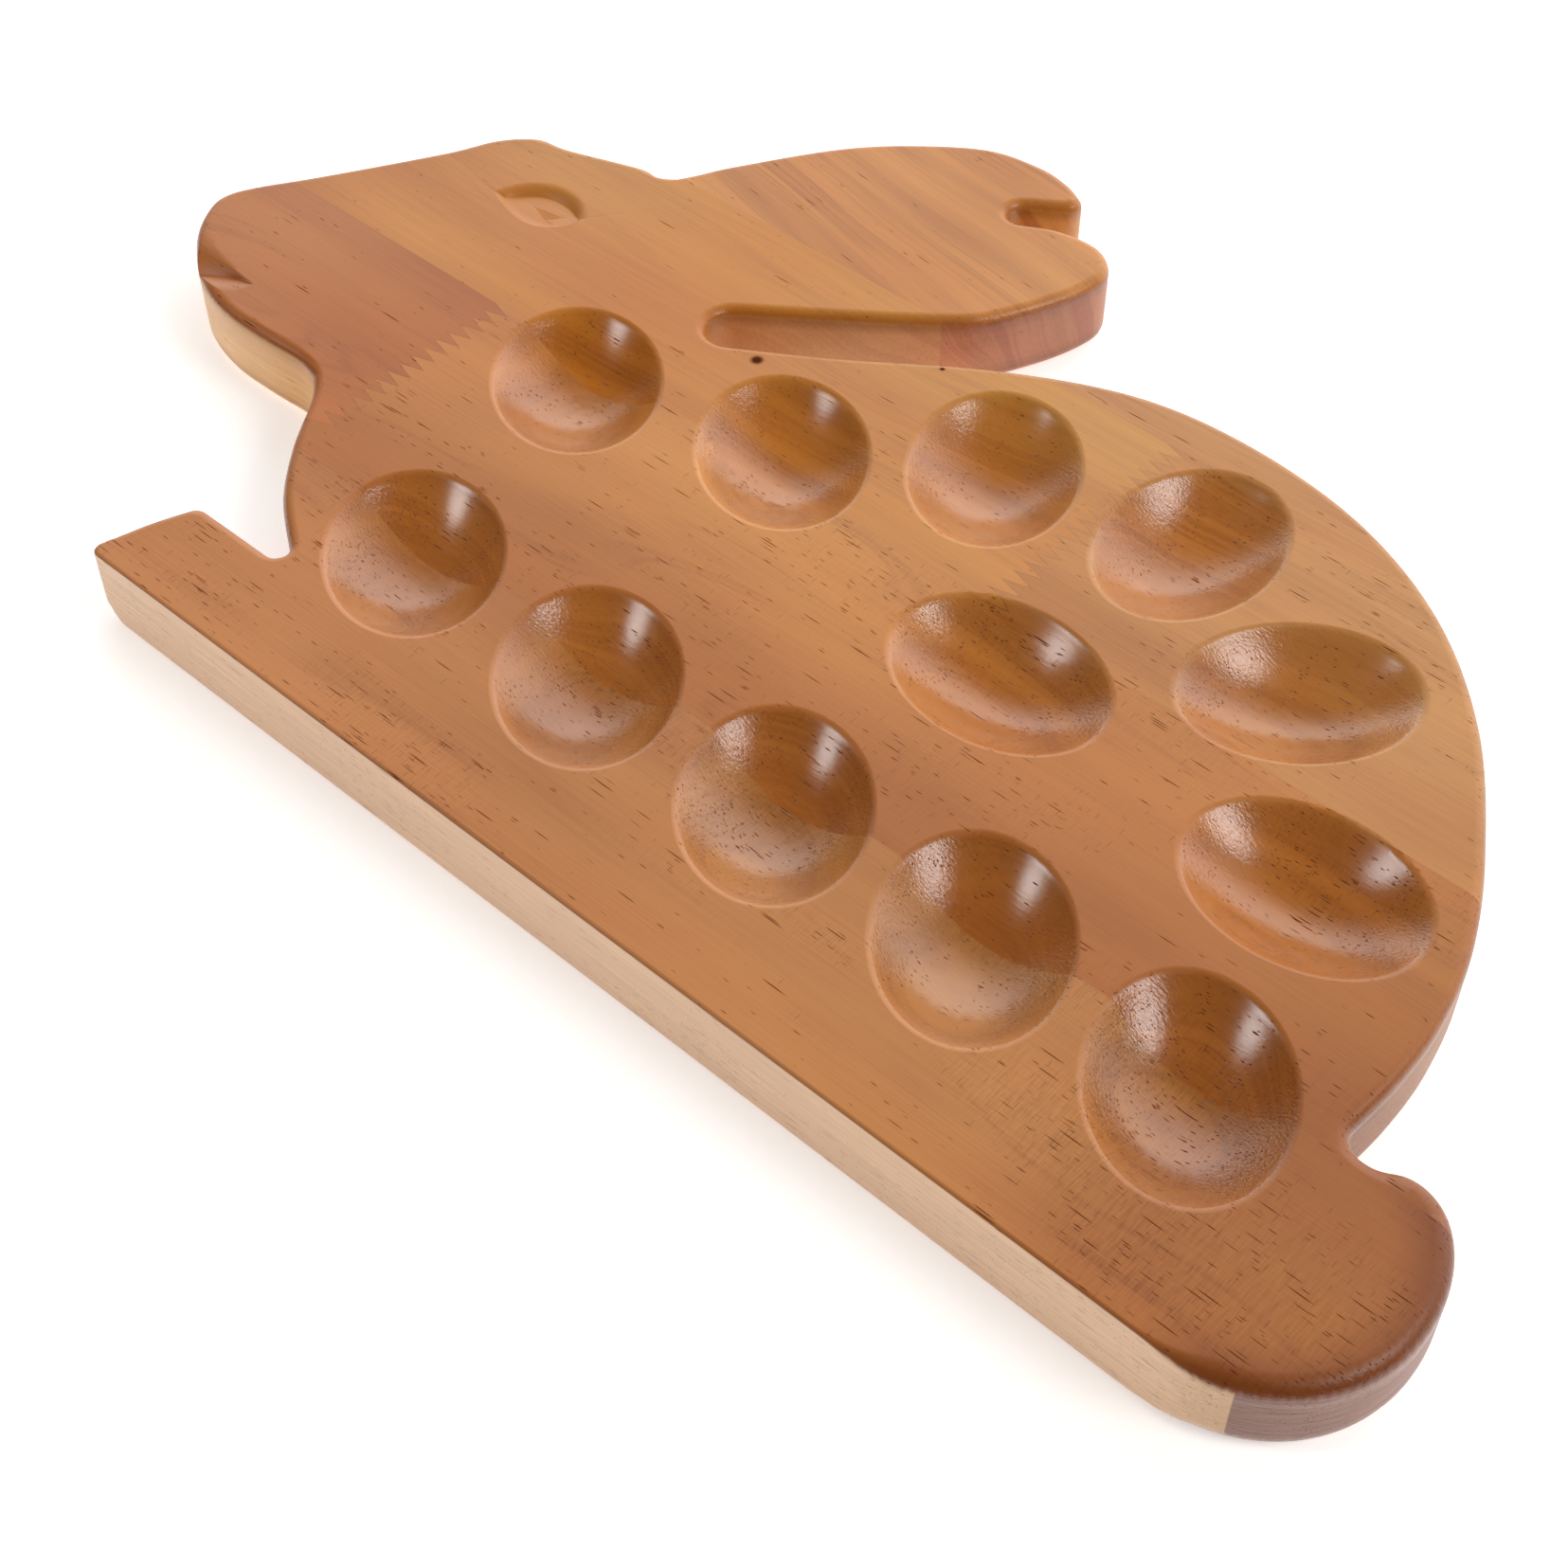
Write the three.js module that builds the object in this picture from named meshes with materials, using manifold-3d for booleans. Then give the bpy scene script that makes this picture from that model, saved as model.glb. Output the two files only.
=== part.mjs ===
// Rabbit-shaped wooden serving board with twelve half-egg wells.
// The board is sawn from an edge-glued panel: staves run along the base edge, and the blocks within a stave
// meet in finger joints. Each wooden block is one mesh, and the outline, the wells and the carving run
// across the joints as they do on the real board.
// Sizes are in millimetres, +Z is up. The plan is drawn from the toe of the paw: x along the base edge
// towards the tail, y across the staves towards the ear.

import * as THREE from 'three';
import { mergeVertices } from 'three/addons/utils/BufferGeometryUtils.js';
import Module from 'manifold-3d';

// Board
const THICKNESS = 20;
const EDGE_ROUND = 2.2;
const EDGE_FACETS = 3;
const CURVE_FACETS = 3;
const SAME_POINT = 0.001;

// Panel: staves between glue lines, and finger joints within a stave
const BASE_STAVE_WIDTH = 52.9;
const MIDDLE_STAVE_WIDTH = 67;
const BACK_STRIP_WIDTH = 13.6;
const GLUE_GAP = 0.3;
const FINGER_PITCH = 3.8;
const FINGER_LENGTH = 6.3;
const FINGER_GAP = 0.9;
const MUZZLE_JOINT_X = 5.9;
const RUMP_JOINT_X = 158;

// Wells
const WELL_LENGTH = 52.8;
const WELL_WIDTH = 40.2;
const WELL_DEPTH = 10.5;
const WELL_RINGS = 5;
const WELL_FACETS = 28;
const WELL_HEADROOM = 3;

// Each well's centre and the turn of its long axis from the base edge, in degrees
const WELLS = [
  [53.5, 47.5, 140],
  [108.5, 46.5, 134],
  [161.5, 46.5, 131],
  [212.5, 47, 127],
  [263.5, 47, 127],
  [172, 105, 177],
  [38, 113, 138],
  [91, 126.5, 137],
  [130.5, 154.5, 121],
  [178.5, 164, 92],
  [222, 142.5, 44],
  [252.5, 100, 4],
];

// Tail: a corner arc off the base edge, a fuller top and a notch against the rump, both measured from the
// end of the straight base edge
const BASE_LENGTH = 291.9;
const TAIL_RADIUS = 31.4;
const TAIL_TOP_X = 13.9;
const TAIL_RISE = 6.1;
const TAIL_NOTCH_X = 3.4;
const TAIL_NOTCH_RADIUS = 4.7;
const TAIL_NOTCH_WEB = 2.9;

// Paw: its height, the round end of the cut above it, and its front, bowed from the knuckle to the toe
const PAW_HEIGHT = 25.9;
const CHEST_CUT_X = 29.5;
const CHEST_CUT_RADIUS = 2.6;
const CHEST_CUT_TURN = -34;
const KNUCKLE_X = 8.6;
const KNUCKLE_RADIUS = 3.5;
const KNUCKLE_TURN = 73;
const PAW_BOW = [-1.4, 8];

// Slot between the ear and the back, and the notch in the ear's tip: round end, and the edges' directions
const SLOT_END = [51.8, 152];
const SLOT_RADIUS = 6.5;
const SLOT_TURN = 35;
const EAR_NOTCH_END = [75.1, 234.5];
const EAR_NOTCH_RADIUS = 3.8;
const EAR_NOTCH_LOWER_TURN = 21;
const EAR_NOTCH_UPPER_TURN = 35;
const EAR_TIP = [79.9, 246.8];
const EAR_TIP_RADIUS = 3.5;
const EAR_TIP_TURN = 60;

// Stretches of the outline between those features, each a smooth curve through its points
const RUMP_AND_BACK = [
  [291.2, 74.5], [289.9, 90.5], [284.9, 109.6], [274, 131.8], [255.1, 159.9], [231, 182],
  [201.9, 196], [169.3, 201], [139.2, 197.6], [109.1, 183.2], [77.2, 160.6],
];
const EAR_LOWER_LOBE = [
  [65.7, 170.4], [87.9, 187.7], [95.5, 196], [103, 211.8], [106, 223.7], [105.2, 230.4],
  [100.7, 235.2], [94.5, 236.8], [85.3, 235.5],
];
const EAR_UPPER_LOBE = [
  [75.6, 252.6], [65.8, 253.9], [50.3, 250.8], [32.9, 237.8], [20.2, 223.6], [6.3, 201.1], [1.7, 192],
  [-0.9, 187.3],
];
const HEAD = [
  [-4.7, 184.9], [-11, 184.5], [-30.2, 177.9], [-39.7, 175.9], [-47.4, 168.1], [-53.4, 155.1],
  [-69.2, 127.3], [-77.9, 113.2], [-81.2, 105.5], [-80.2, 98.7], [-73, 88.8], [-58.5, 78.5],
  [-44.4, 74.5], [-30.3, 74.1], [-17.7, 74.6], [-10.2, 72.9],
];
const CHEST = [[-4.2, 67.2], [5.6, 53.1], [17, 40.6]];

// Eye: an almond cut whose floor slopes down to the upper lid, and a mouth gouged in from the lip
const EYE_LEFT_CORNER = [-29.5, 152];
const EYE_RIGHT_CORNER = [-5, 158.5];
const EYE_UPPER_SAG = 9.5;
const EYE_LOWER_SAG = 6.6;
const EYE_DEPTH = 2;
const MOUTH_END = [-45.5, 84.3];
const MOUTH_LENGTH = 34;
const MOUTH_TURN = 183;
const MOUTH_RADIUS = 9;
const MOUTH_DEPTH = 6;
const MOUTH_FACETS = 12;

// Finish of the blocks, from the reddish muzzle to the golden head
const LACQUER_ROUGHNESS = 0.35;
const BLOCK_COLOURS = {
  base_stave: 0xb8783f,
  muzzle_block: 0xb87445,
  body_block: 0xb9763f,
  head_block: 0xc98a4d,
  rump_block: 0xc28349,
  ear_block: 0xc98b53,
  back_block: 0xc68b4f,
};

const wasm = await Module();
wasm.setup();

// Glue lines, as heights above the base edge
const backCrest = Math.max(...RUMP_AND_BACK.map(([, y]) => y));
const lowerGlueLine = BASE_STAVE_WIDTH;
const middleGlueLine = lowerGlueLine + MIDDLE_STAVE_WIDTH;
const upperGlueLine = backCrest - BACK_STRIP_WIDTH;

function vector([x, y]) {
  return new THREE.Vector2(x, y);
}

// A point on a round end, seen from its centre at an angle in degrees
function onArc([x, y], radius, degrees) {
  const angle = THREE.MathUtils.degToRad(degrees);
  return [x + radius * Math.cos(angle), y + radius * Math.sin(angle)];
}

// A concave round end between two edges, run clockwise because the wood lies outside it
function roundEnd(path, [x, y], radius, fromDegrees, toDegrees) {
  const [from, to] = [fromDegrees, toDegrees].map(THREE.MathUtils.degToRad);
  path.absarc(x, y, radius, from, to, true);
}

// The outline runs anticlockwise from the toe: base edge, tail, rump, back, slot, ear, head, chest and paw
function boardOutline() {
  const tailTop = lowerGlueLine + TAIL_RISE;
  const notchFloor = lowerGlueLine + TAIL_NOTCH_WEB;
  const tailTopX = BASE_LENGTH + TAIL_TOP_X;
  const notchX = BASE_LENGTH + TAIL_NOTCH_X;
  const notchCentre = [notchX, notchFloor + TAIL_NOTCH_RADIUS];
  const tailEnd = BASE_LENGTH + TAIL_RADIUS;
  const easing = (TAIL_TOP_X - TAIL_NOTCH_X) / 2;
  const slotUpper = 90 + SLOT_TURN;
  const earNotchUpper = 90 + EAR_NOTCH_UPPER_TURN;

  const path = new THREE.Shape();
  path.moveTo(0, 0);
  path.lineTo(BASE_LENGTH, 0);
  path.absarc(BASE_LENGTH, TAIL_RADIUS, TAIL_RADIUS, -Math.PI / 2, 0);
  path.absellipse(tailTopX, TAIL_RADIUS, tailEnd - tailTopX, tailTop - TAIL_RADIUS, 0, Math.PI / 2);
  path.bezierCurveTo(
    tailTopX - easing, tailTop,
    notchX + easing, notchFloor,
    notchX, notchFloor,
  );
  roundEnd(path, notchCentre, TAIL_NOTCH_RADIUS, 270, 180);
  path.splineThru([...RUMP_AND_BACK, onArc(SLOT_END, SLOT_RADIUS, SLOT_TURN - 90)].map(vector));
  roundEnd(path, SLOT_END, SLOT_RADIUS, SLOT_TURN - 90, slotUpper);
  const earNotchLower = EAR_NOTCH_LOWER_TURN - 90;
  path.splineThru([...EAR_LOWER_LOBE, onArc(EAR_NOTCH_END, EAR_NOTCH_RADIUS, earNotchLower)].map(vector));
  roundEnd(path, EAR_NOTCH_END, EAR_NOTCH_RADIUS, earNotchLower, earNotchUpper);
  const [tipStart, tipEnd] = [EAR_NOTCH_UPPER_TURN - 90, EAR_TIP_TURN].map(THREE.MathUtils.degToRad);
  path.absarc(...EAR_TIP, EAR_TIP_RADIUS, tipStart, tipEnd);
  path.splineThru(EAR_UPPER_LOBE.map(vector));
  path.splineThru(HEAD.map(vector));
  const chestCut = [CHEST_CUT_X, PAW_HEIGHT + CHEST_CUT_RADIUS];
  const chestCutStart = CHEST_CUT_TURN + 90;
  path.splineThru([...CHEST, onArc(chestCut, CHEST_CUT_RADIUS, chestCutStart)].map(vector));
  roundEnd(path, chestCut, CHEST_CUT_RADIUS, chestCutStart, -90);
  const knuckleEnd = THREE.MathUtils.degToRad(90 + KNUCKLE_TURN);
  path.absarc(KNUCKLE_X, PAW_HEIGHT - KNUCKLE_RADIUS, KNUCKLE_RADIUS, Math.PI / 2, knuckleEnd);
  path.quadraticCurveTo(...PAW_BOW, 0, 0);
  const points = path.getPoints(CURVE_FACETS);
  return points.filter((point, i) => point.distanceTo(points.at(i - 1)) > SAME_POINT);
}

// A closed three.js geometry as a solid that can be cut: shared corners merged, collapsed faces left out
function solid(geometry) {
  geometry.deleteAttribute('normal');
  geometry.deleteAttribute('uv');
  const merged = mergeVertices(geometry, SAME_POINT);
  const corners = merged.index.array;
  const kept = [];
  for (let i = 0; i < corners.length; i += 3) {
    const [a, b, c] = [corners[i], corners[i + 1], corners[i + 2]];
    if (a !== b && b !== c && c !== a) kept.push(a, b, c);
  }
  return new wasm.Manifold(new wasm.Mesh({
    numProp: 3,
    vertProperties: new Float32Array(merged.attributes.position.array),
    triVerts: new Uint32Array(kept),
  }));
}

// The whole board, its long arrises rounded over
function boardSolid() {
  const geometry = new THREE.ExtrudeGeometry(new THREE.Shape(boardOutline()), {
    depth: THICKNESS - 2 * EDGE_ROUND,
    bevelThickness: EDGE_ROUND,
    bevelSize: EDGE_ROUND,
    bevelOffset: -EDGE_ROUND,
    bevelSegments: EDGE_FACETS,
  });
  geometry.translate(0, 0, EDGE_ROUND);
  return solid(geometry);
}

// One well: a paraboloid bowl, turned as a round one and drawn out to the egg's length and width
function wellSolid([x, y, turn]) {
  const profile = [];
  for (let ring = 0; ring <= WELL_RINGS; ring += 1) {
    const r = ring / WELL_RINGS;
    profile.push(new THREE.Vector2(r, -WELL_DEPTH * (1 - r * r)));
  }
  profile.push(new THREE.Vector2(1, WELL_HEADROOM));
  profile.push(new THREE.Vector2(0, WELL_HEADROOM));
  const geometry = new THREE.LatheGeometry(profile, WELL_FACETS);
  geometry.rotateX(Math.PI / 2);
  geometry.scale(WELL_LENGTH / 2, WELL_WIDTH / 2, 1);
  geometry.rotateZ(THREE.MathUtils.degToRad(turn));
  geometry.translate(x, y, THICKNESS);
  return solid(geometry);
}

// The eye: an almond of two arcs between its corners, tipped about the lower lid
function eyeSolid() {
  const left = vector(EYE_LEFT_CORNER);
  const right = vector(EYE_RIGHT_CORNER);
  const half = left.distanceTo(right) / 2;
  const almond = new THREE.Shape();
  almond.moveTo(-half, 0);
  almond.quadraticCurveTo(0, -2 * EYE_LOWER_SAG, half, 0);
  almond.quadraticCurveTo(0, 2 * EYE_UPPER_SAG, -half, 0);
  const geometry = new THREE.ExtrudeGeometry(almond, {
    depth: 2 * EYE_DEPTH,
    curveSegments: 2 * CURVE_FACETS,
    bevelEnabled: false,
  });
  const across = EYE_LOWER_SAG + EYE_UPPER_SAG;
  geometry.translate(0, EYE_LOWER_SAG, 0);
  geometry.rotateX(-Math.atan2(EYE_DEPTH, across));
  geometry.translate(0, -EYE_LOWER_SAG, 0);
  geometry.rotateZ(right.clone().sub(left).angle());
  const middle = left.clone().add(right).divideScalar(2);
  geometry.translate(middle.x, middle.y, THICKNESS);
  return solid(geometry);
}

// The mouth: a flattened cone lying in the top face, its point at the mouth's inner end
function mouthSolid() {
  const geometry = new THREE.ConeGeometry(MOUTH_RADIUS, MOUTH_LENGTH, MOUTH_FACETS);
  geometry.translate(0, -MOUTH_LENGTH / 2, 0);
  geometry.scale(1, 1, MOUTH_DEPTH / MOUTH_RADIUS);
  geometry.rotateZ(Math.PI / 2 + THREE.MathUtils.degToRad(MOUTH_TURN));
  geometry.translate(MOUTH_END[0], MOUTH_END[1], THICKNESS);
  return solid(geometry);
}

// A finger joint's zigzag up a stave, from one glue line to the next, moved along by half its gap
function fingerLine(x, low, high, side) {
  const fingers = Math.round((high - low) / FINGER_PITCH);
  const step = (high - low) / (2 * fingers);
  const points = [];
  for (let i = 0; i <= 2 * fingers; i += 1) {
    const reach = i % 2 === 0 ? -FINGER_LENGTH / 2 : FINGER_LENGTH / 2;
    points.push([x + reach + side * FINGER_GAP / 2, low + i * step]);
  }
  return points;
}

// The height at which the chest's edge passes a given x, where the lowest finger of the muzzle joint runs out
function chestHeight(x) {
  const edge = [HEAD.at(-1), ...CHEST];
  const i = Math.max(1, edge.findIndex((point) => point[0] > x));
  const [[x0, y0], [x1, y1]] = [edge[i - 1], edge[i]];
  return y0 + (y1 - y0) * (x - x0) / (x1 - x0);
}

// The panel's plan divided into blocks: each is bounded by glue lines, finger joints and the panel's rim
function blockPlans(box) {
  const [left, right] = [box.min.x - THICKNESS, box.max.x + THICKNESS];
  const [bottom, top] = [box.min.y - THICKNESS, box.max.y + THICKNESS];
  const gap = GLUE_GAP / 2;
  const low = lowerGlueLine + gap;
  const foot = Math.max(low + GLUE_GAP, chestHeight(MUZZLE_JOINT_X - FINGER_LENGTH));
  const middle = [foot, middleGlueLine - gap];
  const upper = [middleGlueLine + gap, upperGlueLine - gap];
  const crown = upperGlueLine + gap;
  const earSide = Math.max(...EAR_LOWER_LOBE.map(([x]) => x)) + SLOT_RADIUS;
  const beside = (x, [from, to]) => [[x, to], [x, from]];
  const rectangle = (x0, y0, x1, y1) => [[x0, y0], [x1, y0], [x1, y1], [x0, y1]];
  return {
    base_stave: rectangle(left, bottom, right, lowerGlueLine - gap),
    muzzle_block: [...fingerLine(MUZZLE_JOINT_X, ...middle, -1), ...beside(left, middle)],
    body_block: [
      [left, foot - GLUE_GAP],
      [MUZZLE_JOINT_X - FINGER_LENGTH / 2, foot - GLUE_GAP],
      ...fingerLine(MUZZLE_JOINT_X, ...middle, 1),
      ...beside(right, [low, middleGlueLine - gap]),
      [left, low],
    ],
    head_block: [...fingerLine(RUMP_JOINT_X, ...upper, -1), ...beside(left, upper)],
    rump_block: [...fingerLine(RUMP_JOINT_X, ...upper, 1), ...beside(right, upper)],
    ear_block: rectangle(left, crown, earSide, top),
    back_block: rectangle(earSide, crown, right, top),
  };
}

// A block's plan as a prism that reaches past both faces of the board
function blockPrism(plan) {
  const geometry = new THREE.ExtrudeGeometry(new THREE.Shape(plan.map(vector)), {
    depth: 3 * THICKNESS,
    bevelEnabled: false,
  });
  geometry.translate(0, 0, -THICKNESS);
  return solid(geometry);
}

// A cut solid as a three.js mesh
function woodMesh(name, block) {
  const { vertProperties, triVerts } = block.getMesh();
  const geometry = new THREE.BufferGeometry();
  geometry.setAttribute('position', new THREE.BufferAttribute(vertProperties, 3));
  geometry.setIndex(new THREE.BufferAttribute(triVerts, 1));
  geometry.computeVertexNormals();
  const material = new THREE.MeshStandardMaterial({
    color: BLOCK_COLOURS[name],
    roughness: LACQUER_ROUGHNESS,
    metalness: 0,
  });
  const mesh = new THREE.Mesh(geometry, material);
  mesh.name = name;
  return mesh;
}

// The carved board is cut into its blocks, and the origin set under the middle of the outline
let carved = boardSolid();
for (const well of WELLS) carved = carved.subtract(wellSolid(well));
carved = carved.subtract(eyeSolid()).subtract(mouthSolid());

const box = new THREE.Box2().setFromPoints(boardOutline());
const middle = box.getCenter(new THREE.Vector2());
const board = new THREE.Group();
board.name = 'rabbit_egg_board';
board.position.set(-middle.x, -middle.y, 0);
for (const [name, plan] of Object.entries(blockPlans(box))) {
  board.add(woodMesh(name, carved.intersect(blockPrism(plan))));
}

export default board;
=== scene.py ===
"""Rabbit-shaped wooden egg tray: a lacquered, edge-glued and finger-jointed board with half-egg wells."""

from functools import lru_cache

import bpy
import numpy as np
from bpy.props import FloatProperty, FloatVectorProperty, PointerProperty
from mathutils import Euler, Matrix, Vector
from mathutils.geometry import delaunay_2d_cdt


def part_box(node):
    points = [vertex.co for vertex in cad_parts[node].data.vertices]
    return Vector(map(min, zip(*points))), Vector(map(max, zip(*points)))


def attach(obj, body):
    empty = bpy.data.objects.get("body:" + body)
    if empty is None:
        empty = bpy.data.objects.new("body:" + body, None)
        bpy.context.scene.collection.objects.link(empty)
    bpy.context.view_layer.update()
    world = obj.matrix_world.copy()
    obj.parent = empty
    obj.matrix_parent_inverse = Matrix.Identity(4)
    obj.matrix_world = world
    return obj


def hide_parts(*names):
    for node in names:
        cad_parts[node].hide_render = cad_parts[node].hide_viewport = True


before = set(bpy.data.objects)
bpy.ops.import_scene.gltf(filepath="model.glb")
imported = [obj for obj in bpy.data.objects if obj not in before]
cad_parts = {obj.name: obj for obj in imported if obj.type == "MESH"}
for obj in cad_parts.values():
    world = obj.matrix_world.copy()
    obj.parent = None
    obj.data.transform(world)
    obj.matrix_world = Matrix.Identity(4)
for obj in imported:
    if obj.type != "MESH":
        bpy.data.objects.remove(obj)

bl_info = {
    "name": "Rabbit Egg Tray",
    "version": (1, 0, 0),
    "blender": (4, 5, 0),
    "location": "View3D > Sidebar > Egg Tray",
    "description": "Builds a lacquered wooden egg tray in the shape of a rabbit, block by block",
    "category": "Add Mesh",
}

MM = 0.001

# Plan of the board in millimetres, from the toe of the paw: x along the base edge, y across the staves
BASE_LENGTH = 291.9
TAIL_RADIUS = 31.4
TAIL_TOP = (305.8, 59.0)
TAIL_NOTCH = (295.3, 60.5)
TAIL_NOTCH_RADIUS = 4.7
CHEST_CUT = (29.5, 28.5)
CHEST_CUT_RADIUS = 2.6
CHEST_CUT_TURN = -34
KNUCKLE = (8.6, 22.4)
KNUCKLE_RADIUS = 3.5
KNUCKLE_TURN = 73
PAW_BOW = (-1.4, 8.0)
TOE_ROUND = 2.6
SLOT_END = (51.8, 152.0)
SLOT_RADIUS = 6.5
SLOT_TURN = 35
EAR_NOTCH_END = (75.1, 234.5)
EAR_NOTCH_RADIUS = 3.8
EAR_NOTCH_TURNS = (21, 35)
EAR_TIP = (79.9, 246.8)
EAR_TIP_RADIUS = 3.5
EAR_TIP_TURN = 60
RUMP_AND_BACK = [
    (291.2, 74.5), (289.9, 90.5), (284.9, 109.6), (274, 131.8), (255.1, 159.9), (231, 182),
    (201.9, 196), (169.3, 201), (139.2, 197.6), (109.1, 183.2), (77.2, 160.6),
]
EAR_LOWER_LOBE = [
    (65.7, 170.4), (87.9, 187.7), (95.5, 196), (103, 211.8), (106, 223.7), (105.2, 230.4),
    (100.7, 235.2), (94.5, 236.8), (85.3, 235.5),
]
EAR_UPPER_LOBE = [
    (75.6, 252.6), (65.8, 253.9), (50.3, 250.8), (32.9, 237.8), (20.2, 223.6), (6.3, 201.1), (1.7, 192),
    (-0.9, 187.3),
]
HEAD = [
    (-4.7, 184.9), (-11, 184.5), (-30.2, 177.9), (-39.7, 175.9), (-47.4, 168.1), (-53.4, 155.1),
    (-69.2, 127.3), (-77.9, 113.2), (-81.2, 105.5), (-80.2, 98.7), (-73, 88.8), (-58.5, 78.5),
    (-44.4, 74.5), (-30.3, 74.1), (-17.7, 74.6), (-10.2, 72.9),
]
CHEST = [(-4.2, 67.2), (5.6, 53.1), (17, 40.6)]

# Glue lines, each finger joint's middle, foot and head, and where the top stave's ear ends
GLUE_LINES = (52.9, 119.9, 187.4)
MUZZLE_JOINT_FOOT = 61.6
MUZZLE_JOINT = (5.9, MUZZLE_JOINT_FOOT, GLUE_LINES[1])
RUMP_JOINT = (158.0, GLUE_LINES[1], GLUE_LINES[2])
EAR_SIDE_X = 112.5

# Each well's centre and the turn of its long axis, in degrees, and the rings and spokes of its grid
WELLS = [
    (53.5, 47.5, 140), (108.5, 46.5, 134), (161.5, 46.5, 131), (212.5, 47, 127), (263.5, 47, 127),
    (172, 105, 177), (38, 113, 138), (91, 126.5, 137), (130.5, 154.5, 121), (178.5, 164, 92),
    (222, 142.5, 44), (252.5, 100, 4),
]
WELL_RINGS = (0.14, 0.28, 0.42, 0.55, 0.66, 0.76, 0.84, 0.9, 0.94, 0.97, 0.99, 1.01, 1.025)
WELL_SPOKES = 72

# Carving: the eye between its corners, with the sags of its lower lid, crease and upper lid and its pupil's
# corners, the mouth's gouge from its inner end, turned in degrees, and how far both are darkened by painted
# shade
EYE_CORNERS = ((-30.6, 150.9), (-4.5, 159.0))
EYE_SAGS = (8.3, 5.3, 9.6)
EYE_SKEW = 0.35
PUPIL = ((-20.5, 154.5), (-13.3, 151.9), (-10.0, 156.6))
MOUTH_END = (-45.6, 85.1)
MOUTH_TURN = 170.7
MOUTH_LENGTH = 23.0
EYE_PAINTED_SHADE = 0.2
MOUTH_PAINTED_SHADE = 0.15

# The eye's form: how full its upper lid is, the crease's span and least height, the step at its lower lid,
# the least width of a lid, where it fades at its corners, and the pupil's depth, fall, edge, painted shade
# and grid
UPPER_LID_FULLNESS = 0.75
CREASE_SPAN = 0.78
CREASE_LOWEST = 0.35
LID_STEP = 0.4
LID_STEP_WIDTH = 0.17
LEAST_LID = 0.01
EYE_CORNER_FADE = 0.7
PUPIL_DEPTH = 0.4
PUPIL_FALL = 4
PUPIL_EDGE = 0.3
PUPIL_PAINTED_SHADE = 0.3
PUPIL_STEPS = 24
PUPIL_RING = 1.08
PUPIL_CLEARANCE = 0.35

# The mouth's form: the bow of its upper edge, how fast valley and lower edge open, how hollow its wall is,
# the length at which it has its full depth, its soft rim and the least share of that, the least width of
# wall and ramp, and where it starts
MOUTH_BOW = 0.12
MOUTH_VALLEY = 0.0245
MOUTH_OPENING = 3.75
MOUTH_FLARE = 0.45
MOUTH_WALL_HOLLOW = 1.25
MOUTH_FULL_LENGTH = 15
MOUTH_RIM = 0.5
MOUTH_RIM_LENGTH = 8
LEAST_RIM = 0.3
LEAST_EDGE = 0.05
MOUTH_START = (0.2, 2.0)

# The base edge's face is barely stained from the toe to this place, and darker towards it
PALE_WALL_END = 305.3
PALE_WALL_BLUR = 0.2
PALE_WALL_TONING = ((288, (1, 1, 1)), (305, (0.84, 0.8, 0.72)))

# Where the arrises' radii and the tail's stain change: the ends of each smooth step along x or y, and the
# share of the tail's radius that the stain leaves free
BASE_ARRIS_X, BASE_ARRIS_Y = (302, 284), (10, 0)
TAIL_ARRIS_X, TAIL_ARRIS_Y = (290, 302), (66, 60)
TOE_ARRIS_X, TOE_ARRIS_Y = (6.5, -1), (20, 10)
TAIL_STAIN_X = (284, 302)
TAIL_CORE = 0.62

# Mesh: the outline's step, the share of it that is kept free beside a crossing, the angles of the rows round
# the upper and lower arrises, the height of the walls' outer bands, the least step along a joint, how near a
# loose place may come to a joint or to the outline, what counts as level or as one place, and in how many
# parts long arrays are worked
OUTLINE_STEP = 0.8
FREE_STEP = 0.4
TOP_TURNS = (11, 23, 36, 50, 66, 90)
UNDER_TURNS = (30, 60, 90)
WALL_BAND = 2.5
LEAST_STEP = 0.05
JOINT_CLEARANCE = 0.13
RIM_CLEARANCE = 0.15
LEVEL_LEEWAY = 1e-6
PLACE_LEEWAY = 1e-5
CHUNKS = 40
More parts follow.
